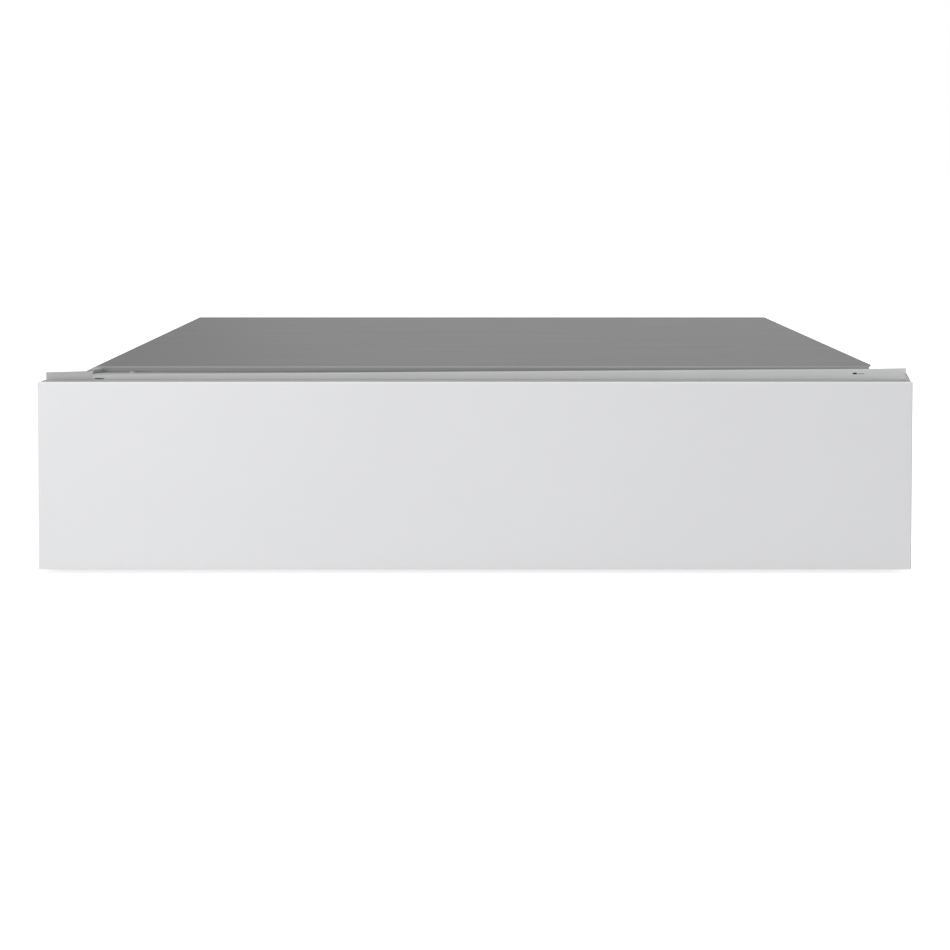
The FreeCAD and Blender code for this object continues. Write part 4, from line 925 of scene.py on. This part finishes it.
for side, label in ((-1, "left"), (1, "right")):
    beads, welds = wall_details(side)
    add_piece(label + "_wall_beads", beads, zinc_sheet, "housing", smooth=True)
    add_piece(label + "_spot_welds", welds, zinc_sheet, "housing", smooth=True)

# %% [markdown]
# ## Small soft and metal parts
# Four soft bumpers on the back of the front keep it from clicking against the ears, and small dark patches
# in the hook slots near the crossbar's ends are painted shadow in the black rubber finish. Two domed guards
# cover the air openings in the chamber, and the sealing bar has a clamp for the welding wire at each end.
# All are pads with a dome or a plate for a profile.

# %% Profiles of domes and plates
DOME = [(0.0, 1.0), (0.35, 0.96), (0.6, 0.82), (0.8, 0.58), (0.93, 0.28),
        (1.0, 0.0), (1.0, -0.05), (0.0, -0.05)]


def dome_profile(height):
    """Profile of a shallow dome of the given height."""
    return [(share, rise * height) for share, rise in DOME]


def plate_profile(height, edge=0.12):
    """Profile of a flat plate with a softened upper edge; edge is a share of the way in."""
    return [(0.0, height), (1.0 - edge, height), (1.0 - 0.3 * edge, 0.8 * height), (1.0, 0.5 * height),
            (1.0, 0.0), (0.0, 0.0)]


# %% Bumpers behind the front and painted shadows in the hook slots
BUMPER_SIDE, BUMPER_RISE, BUMPER_INSET = 9 * MM, 1.3 * MM, 13 * MM
BUMPER_HEIGHTS = (46 * MM, 84 * MM)
SLOT_SHADOW_RISE = 0.15 * MM
PAINTED_SLOT_SHADOWS = (    # side, distance from that end of the crossbar, height, length and width in mm
    (-1, 5.25, 131.5, 5.0, 0.5),
    (1, 15.55, 135.1, 3.0, 1.2),
    (1, 11.2, 134.9, 4.6, 0.3),
)


def front_bumpers():
    """Four soft domes on the carrier's back, in front of the ears."""
    low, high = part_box("front_tray")
    outline, spine = stadium(BUMPER_SIDE, BUMPER_SIDE, 24)
    profile = dome_profile(BUMPER_RISE)
    patches = []
    for x in (low.x + BUMPER_INSET, high.x - BUMPER_INSET):
        for rise in BUMPER_HEIGHTS:
            centre = (x, high.y, low.z + rise)
            patches.append(pad(outline, spine, profile, centre, (-1, 0, 0), (0, 0, 1)))
    return patches


def painted_slot_shadows():
    """Painted shadow in each hook slot of the crossbar, and a painted shadow hairline beside the right one.
    """
    low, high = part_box("front_crossbar")
    profile = dome_profile(SLOT_SHADOW_RISE)
    patches = []
    for side, inset, height, length, width in PAINTED_SLOT_SHADOWS:
        x = low.x + inset * MM if side < 0 else high.x - inset * MM
        outline, spine = stadium(length * MM, width * MM, 20)
        patches.append(pad(outline, spine, profile, (x, low.y, height * MM), (1, 0, 0), (0, 0, 1)))
    return patches


soft_grey = moulded("bumper_rubber", (0.42, 0.42, 0.41), 0.3, 0.45, 500.0, subsurface=0.1)
add_piece("front_bumpers", front_bumpers(), soft_grey, "drawer", smooth=True)
# dark patches in the hook slots: painted shadow, in the black rubber finish
add_piece("painted_slot_shadows", painted_slot_shadows(), black_rubber, "housing", smooth=True)

# %% Air guards in the chamber and clamps on the sealing bar
GUARD_X = (-20 * MM, 60 * MM)
GUARD_Z = 60 * MM
GUARD_SIDE, GUARD_RISE = 19 * MM, 1.6 * MM
GUARD_SLOT, GUARD_SLOT_RISE = (3.4 * MM, 1.3 * MM), 0.7 * MM
GUARD_SLOT_RING, GUARD_SLOT_OUT = 6.2 * MM, 0.95 * MM
WALL_TO_FLANGE_END = 14 * MM
CLAMP_SIZE, CLAMP_RISE, CLAMP_DROP = (9.6 * MM, 7.2 * MM), 1.6 * MM, 0.5 * MM
CLAMP_SCREW_SIDE, CLAMP_SCREW_FOOT, CLAMP_SCREW_RISE = 4.4 * MM, 1.55 * MM, 1.3 * MM


def air_guards():
    """Domes over the two air openings, on the inner face of the chamber's rear wall."""
    wall_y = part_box("vacuum_chamber")[1].y - WALL_TO_FLANGE_END
    outline, spine = stadium(GUARD_SIDE, GUARD_SIDE, 40)
    slot_outline, slot_spine = stadium(*GUARD_SLOT, 16)
    slot_profile = dome_profile(GUARD_SLOT_RISE)
    patches = []
    for x in GUARD_X:
        centre = (x, wall_y, GUARD_Z)
        patches.append(pad(outline, spine, dome_profile(GUARD_RISE), centre, (1, 0, 0), (0, 0, 1)))
        for angle in np.arange(6) * math.pi / 3:
            along = np.array([math.cos(angle), 0.0, math.sin(angle)])
            upward = (-math.sin(angle), 0.0, math.cos(angle))
            spot = centre + GUARD_SLOT_RING * along - (0.0, GUARD_SLOT_OUT, 0.0)
            patches.append(pad(slot_outline, slot_spine, slot_profile, spot, along, upward))
    return patches


def bar_end_clamps():
    """Rounded plates with a screw head on both ends of the sealing bar."""
    low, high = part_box("sealing_bar")
    middle_y = (low.y + high.y) / 2
    middle_z = (low.z + high.z) / 2 - CLAMP_DROP
    plate_outline, plate_spine = stadium(*CLAMP_SIZE, 32)
    head_outline, head_spine = stadium(CLAMP_SCREW_SIDE, CLAMP_SCREW_SIDE, 24)
    plates = []
    heads = []
    for side, x in ((-1, low.x), (1, high.x)):
        axes = ((0.0, side, 0.0), (0.0, 0.0, 1.0))
        foot = (x, middle_y, middle_z)
        top = (x + side * CLAMP_SCREW_FOOT, middle_y, middle_z)
        plates.append(pad(plate_outline, plate_spine, plate_profile(CLAMP_RISE), foot, *axes))
        heads.append(pad(head_outline, head_spine, dome_profile(CLAMP_SCREW_RISE), top, *axes))
    return plates, heads


add_piece("air_guards", air_guards(), steel_drawn, "drawer", smooth=True)
clamp_plates, clamp_heads = bar_end_clamps()
brass_clamp = pebbled("clamp_brass", (0.58, 0.44, 0.22), 1.0, 0.28, 0.4, 1800.0, 0.00001)
add_piece("bar_end_clamps", clamp_plates, brass_clamp, "sealing_bar_body", smooth=True)
add_piece("clamp_screws", clamp_heads, bright_screws, "sealing_bar_body", smooth=True)

# %% [markdown]
# ## The printed marks
# The touch panel of such a drawer shows plain line symbols and small lamps: power, vacuum level, sealing
# time, an external container, start and stop. They are printed under the glass, so a raised line a
# twentieth of a millimetre high looks right from any distance. A dark printed patch on the lid's underside
# hides where each hinge arm is bonded, as on any glass door.

# %% Draw the symbols and the lid print
LINE_WIDTH = 0.7 * MM
PRINT_RISE = 0.05 * MM
SYMBOL_PITCH = 31 * MM
COLUMN_INSET = 26 * MM
FIRST_ROW = 22 * MM
LAMP_SIDE, LAMP_PITCH, LAMPS_IN_ROW = 2.2 * MM, 8.5 * MM, 3
LID_PATCH_SIZE, LID_PATCH_CORNER, LID_PATCH_INSET = (48 * MM, 40 * MM), 9 * MM, 20 * MM
LID_PATCH_GAP = 0.03 * MM


def on_panel(paths, centre_x, centre_y, panel_z):
    """Raised lines for paths drawn in metres about a centre on the panel; b is away from the user."""
    centre = (centre_x, centre_y, panel_z)
    return [band(path, LINE_WIDTH, PRINT_RISE, centre, (1, 0, 0), (0, 1, 0)) for path in paths]


def polyline(corners):
    """Straight strokes between corners in millimetres, each longer by half a line width at both ends."""
    corners = np.array(corners, float) * MM
    strokes = []
    for start, end in zip(corners, corners[1:]):
        reach = (end - start) / np.linalg.norm(end - start) * LINE_WIDTH / 2
        strokes.append(line_path(start - reach, end + reach))
    return strokes


def power_symbol():
    """Open ring with a stroke in its gap."""
    return [circle_path(5.2 * MM, 125, 415), line_path((0, 2.2 * MM), (0, 6.8 * MM))]


def gauge_symbol():
    """Half dial with a needle."""
    return [circle_path(6.2 * MM, -25, 205), line_path((0, 0), (3.3 * MM, 3.5 * MM)),
            circle_path(1.0 * MM, 0, 350, 17)]


def seal_symbol():
    """Two jaws that close on a bag's edge."""
    jaws = polyline([(-6, 4.2), (6, 4.2)]) + polyline([(-6, -4.2), (6, -4.2)])
    edge = polyline([(-6.5, 0), (-3.4, 0)]) + polyline([(-1.5, 0), (1.5, 0)]) + polyline([(3.4, 0), (6.5, 0)])
    return jaws + edge


def jar_symbol():
    """Container with a lid and a hose."""
    return (polyline([(-5, 2.6), (-5, -5.4), (5, -5.4), (5, 2.6)]) + polyline([(-6, 4.2), (6, 4.2)])
            + polyline([(0, 4.2), (0, 7.2)]))


def start_symbol():
    """Triangle that points right."""
    return polyline([(-3.4, -5), (5, 0), (-3.4, 5), (-3.4, -5)])


def stop_symbol():
    """Square."""
    return polyline([(-4.2, -4.2), (4.2, -4.2), (4.2, 4.2), (-4.2, 4.2), (-4.2, -4.2)])


def panel_marks():
    """Symbols up the panel, nearest the user first, and rows of lamp dots beside the levels."""
    low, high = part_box("control_panel")
    left_x = low.x + COLUMN_INSET
    right_x = high.x - COLUMN_INSET
    first_y = low.y + FIRST_ROW
    top = high.z
    outline, spine = stadium(LAMP_SIDE, LAMP_SIDE, 16)
    lines = []
    dots = []
    lines += on_panel(start_symbol(), left_x, first_y, top)
    lines += on_panel(stop_symbol(), right_x, first_y, top)
    levels = (jar_symbol, seal_symbol, gauge_symbol)
    for row, symbol in enumerate(levels, start=1):
        y = first_y + row * SYMBOL_PITCH
        lines += on_panel(symbol(), left_x, y, top)
        for index in range(LAMPS_IN_ROW):
            spot = (right_x + (index - (LAMPS_IN_ROW - 1) / 2) * LAMP_PITCH, y, top)
            dots.append(pad(outline, spine, plate_profile(PRINT_RISE), spot, (1, 0, 0), (0, 1, 0)))
    lines += on_panel(power_symbol(), left_x, first_y + (len(levels) + 1) * SYMBOL_PITCH, top)
    return lines, dots


def lid_print():
    """Dark rounded patches just under the lid, below the bonded hinge arms."""
    low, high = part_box("glass_lid")
    outline, spine = rounded(*LID_PATCH_SIZE, LID_PATCH_CORNER, 48)
    profile = plate_profile(PRINT_RISE, 0.01)
    patches = []
    for name in ("left_hinge_arm", "right_hinge_arm"):
        arm_low, arm_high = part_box(name)
        centre = ((arm_low.x + arm_high.x) / 2, high.y - LID_PATCH_INSET, low.z - LID_PATCH_GAP)
        patches.append(pad(outline, spine, profile, centre, (1, 0, 0), (0, -1, 0)))
    return patches


print_white = moulded("print_white", (0.62, 0.63, 0.64), 0.25, 0.35, 900.0, 0.000003, variation=0.03)
lamp_amber = moulded("lamp_dots", (0.55, 0.30, 0.07), 0.25, 0.35, 900.0, 0.000003, variation=0.05)
print_dark = moulded("print_dark", (0.012, 0.012, 0.013), 0.2, 0.3, 900.0, 0.000003)
symbol_lines, level_dots = panel_marks()
add_piece("panel_symbols", symbol_lines, print_white, "drawer")
add_piece("panel_lamps", level_dots, lamp_amber, "drawer")
add_piece("lid_print", lid_print(), print_dark, "lid")
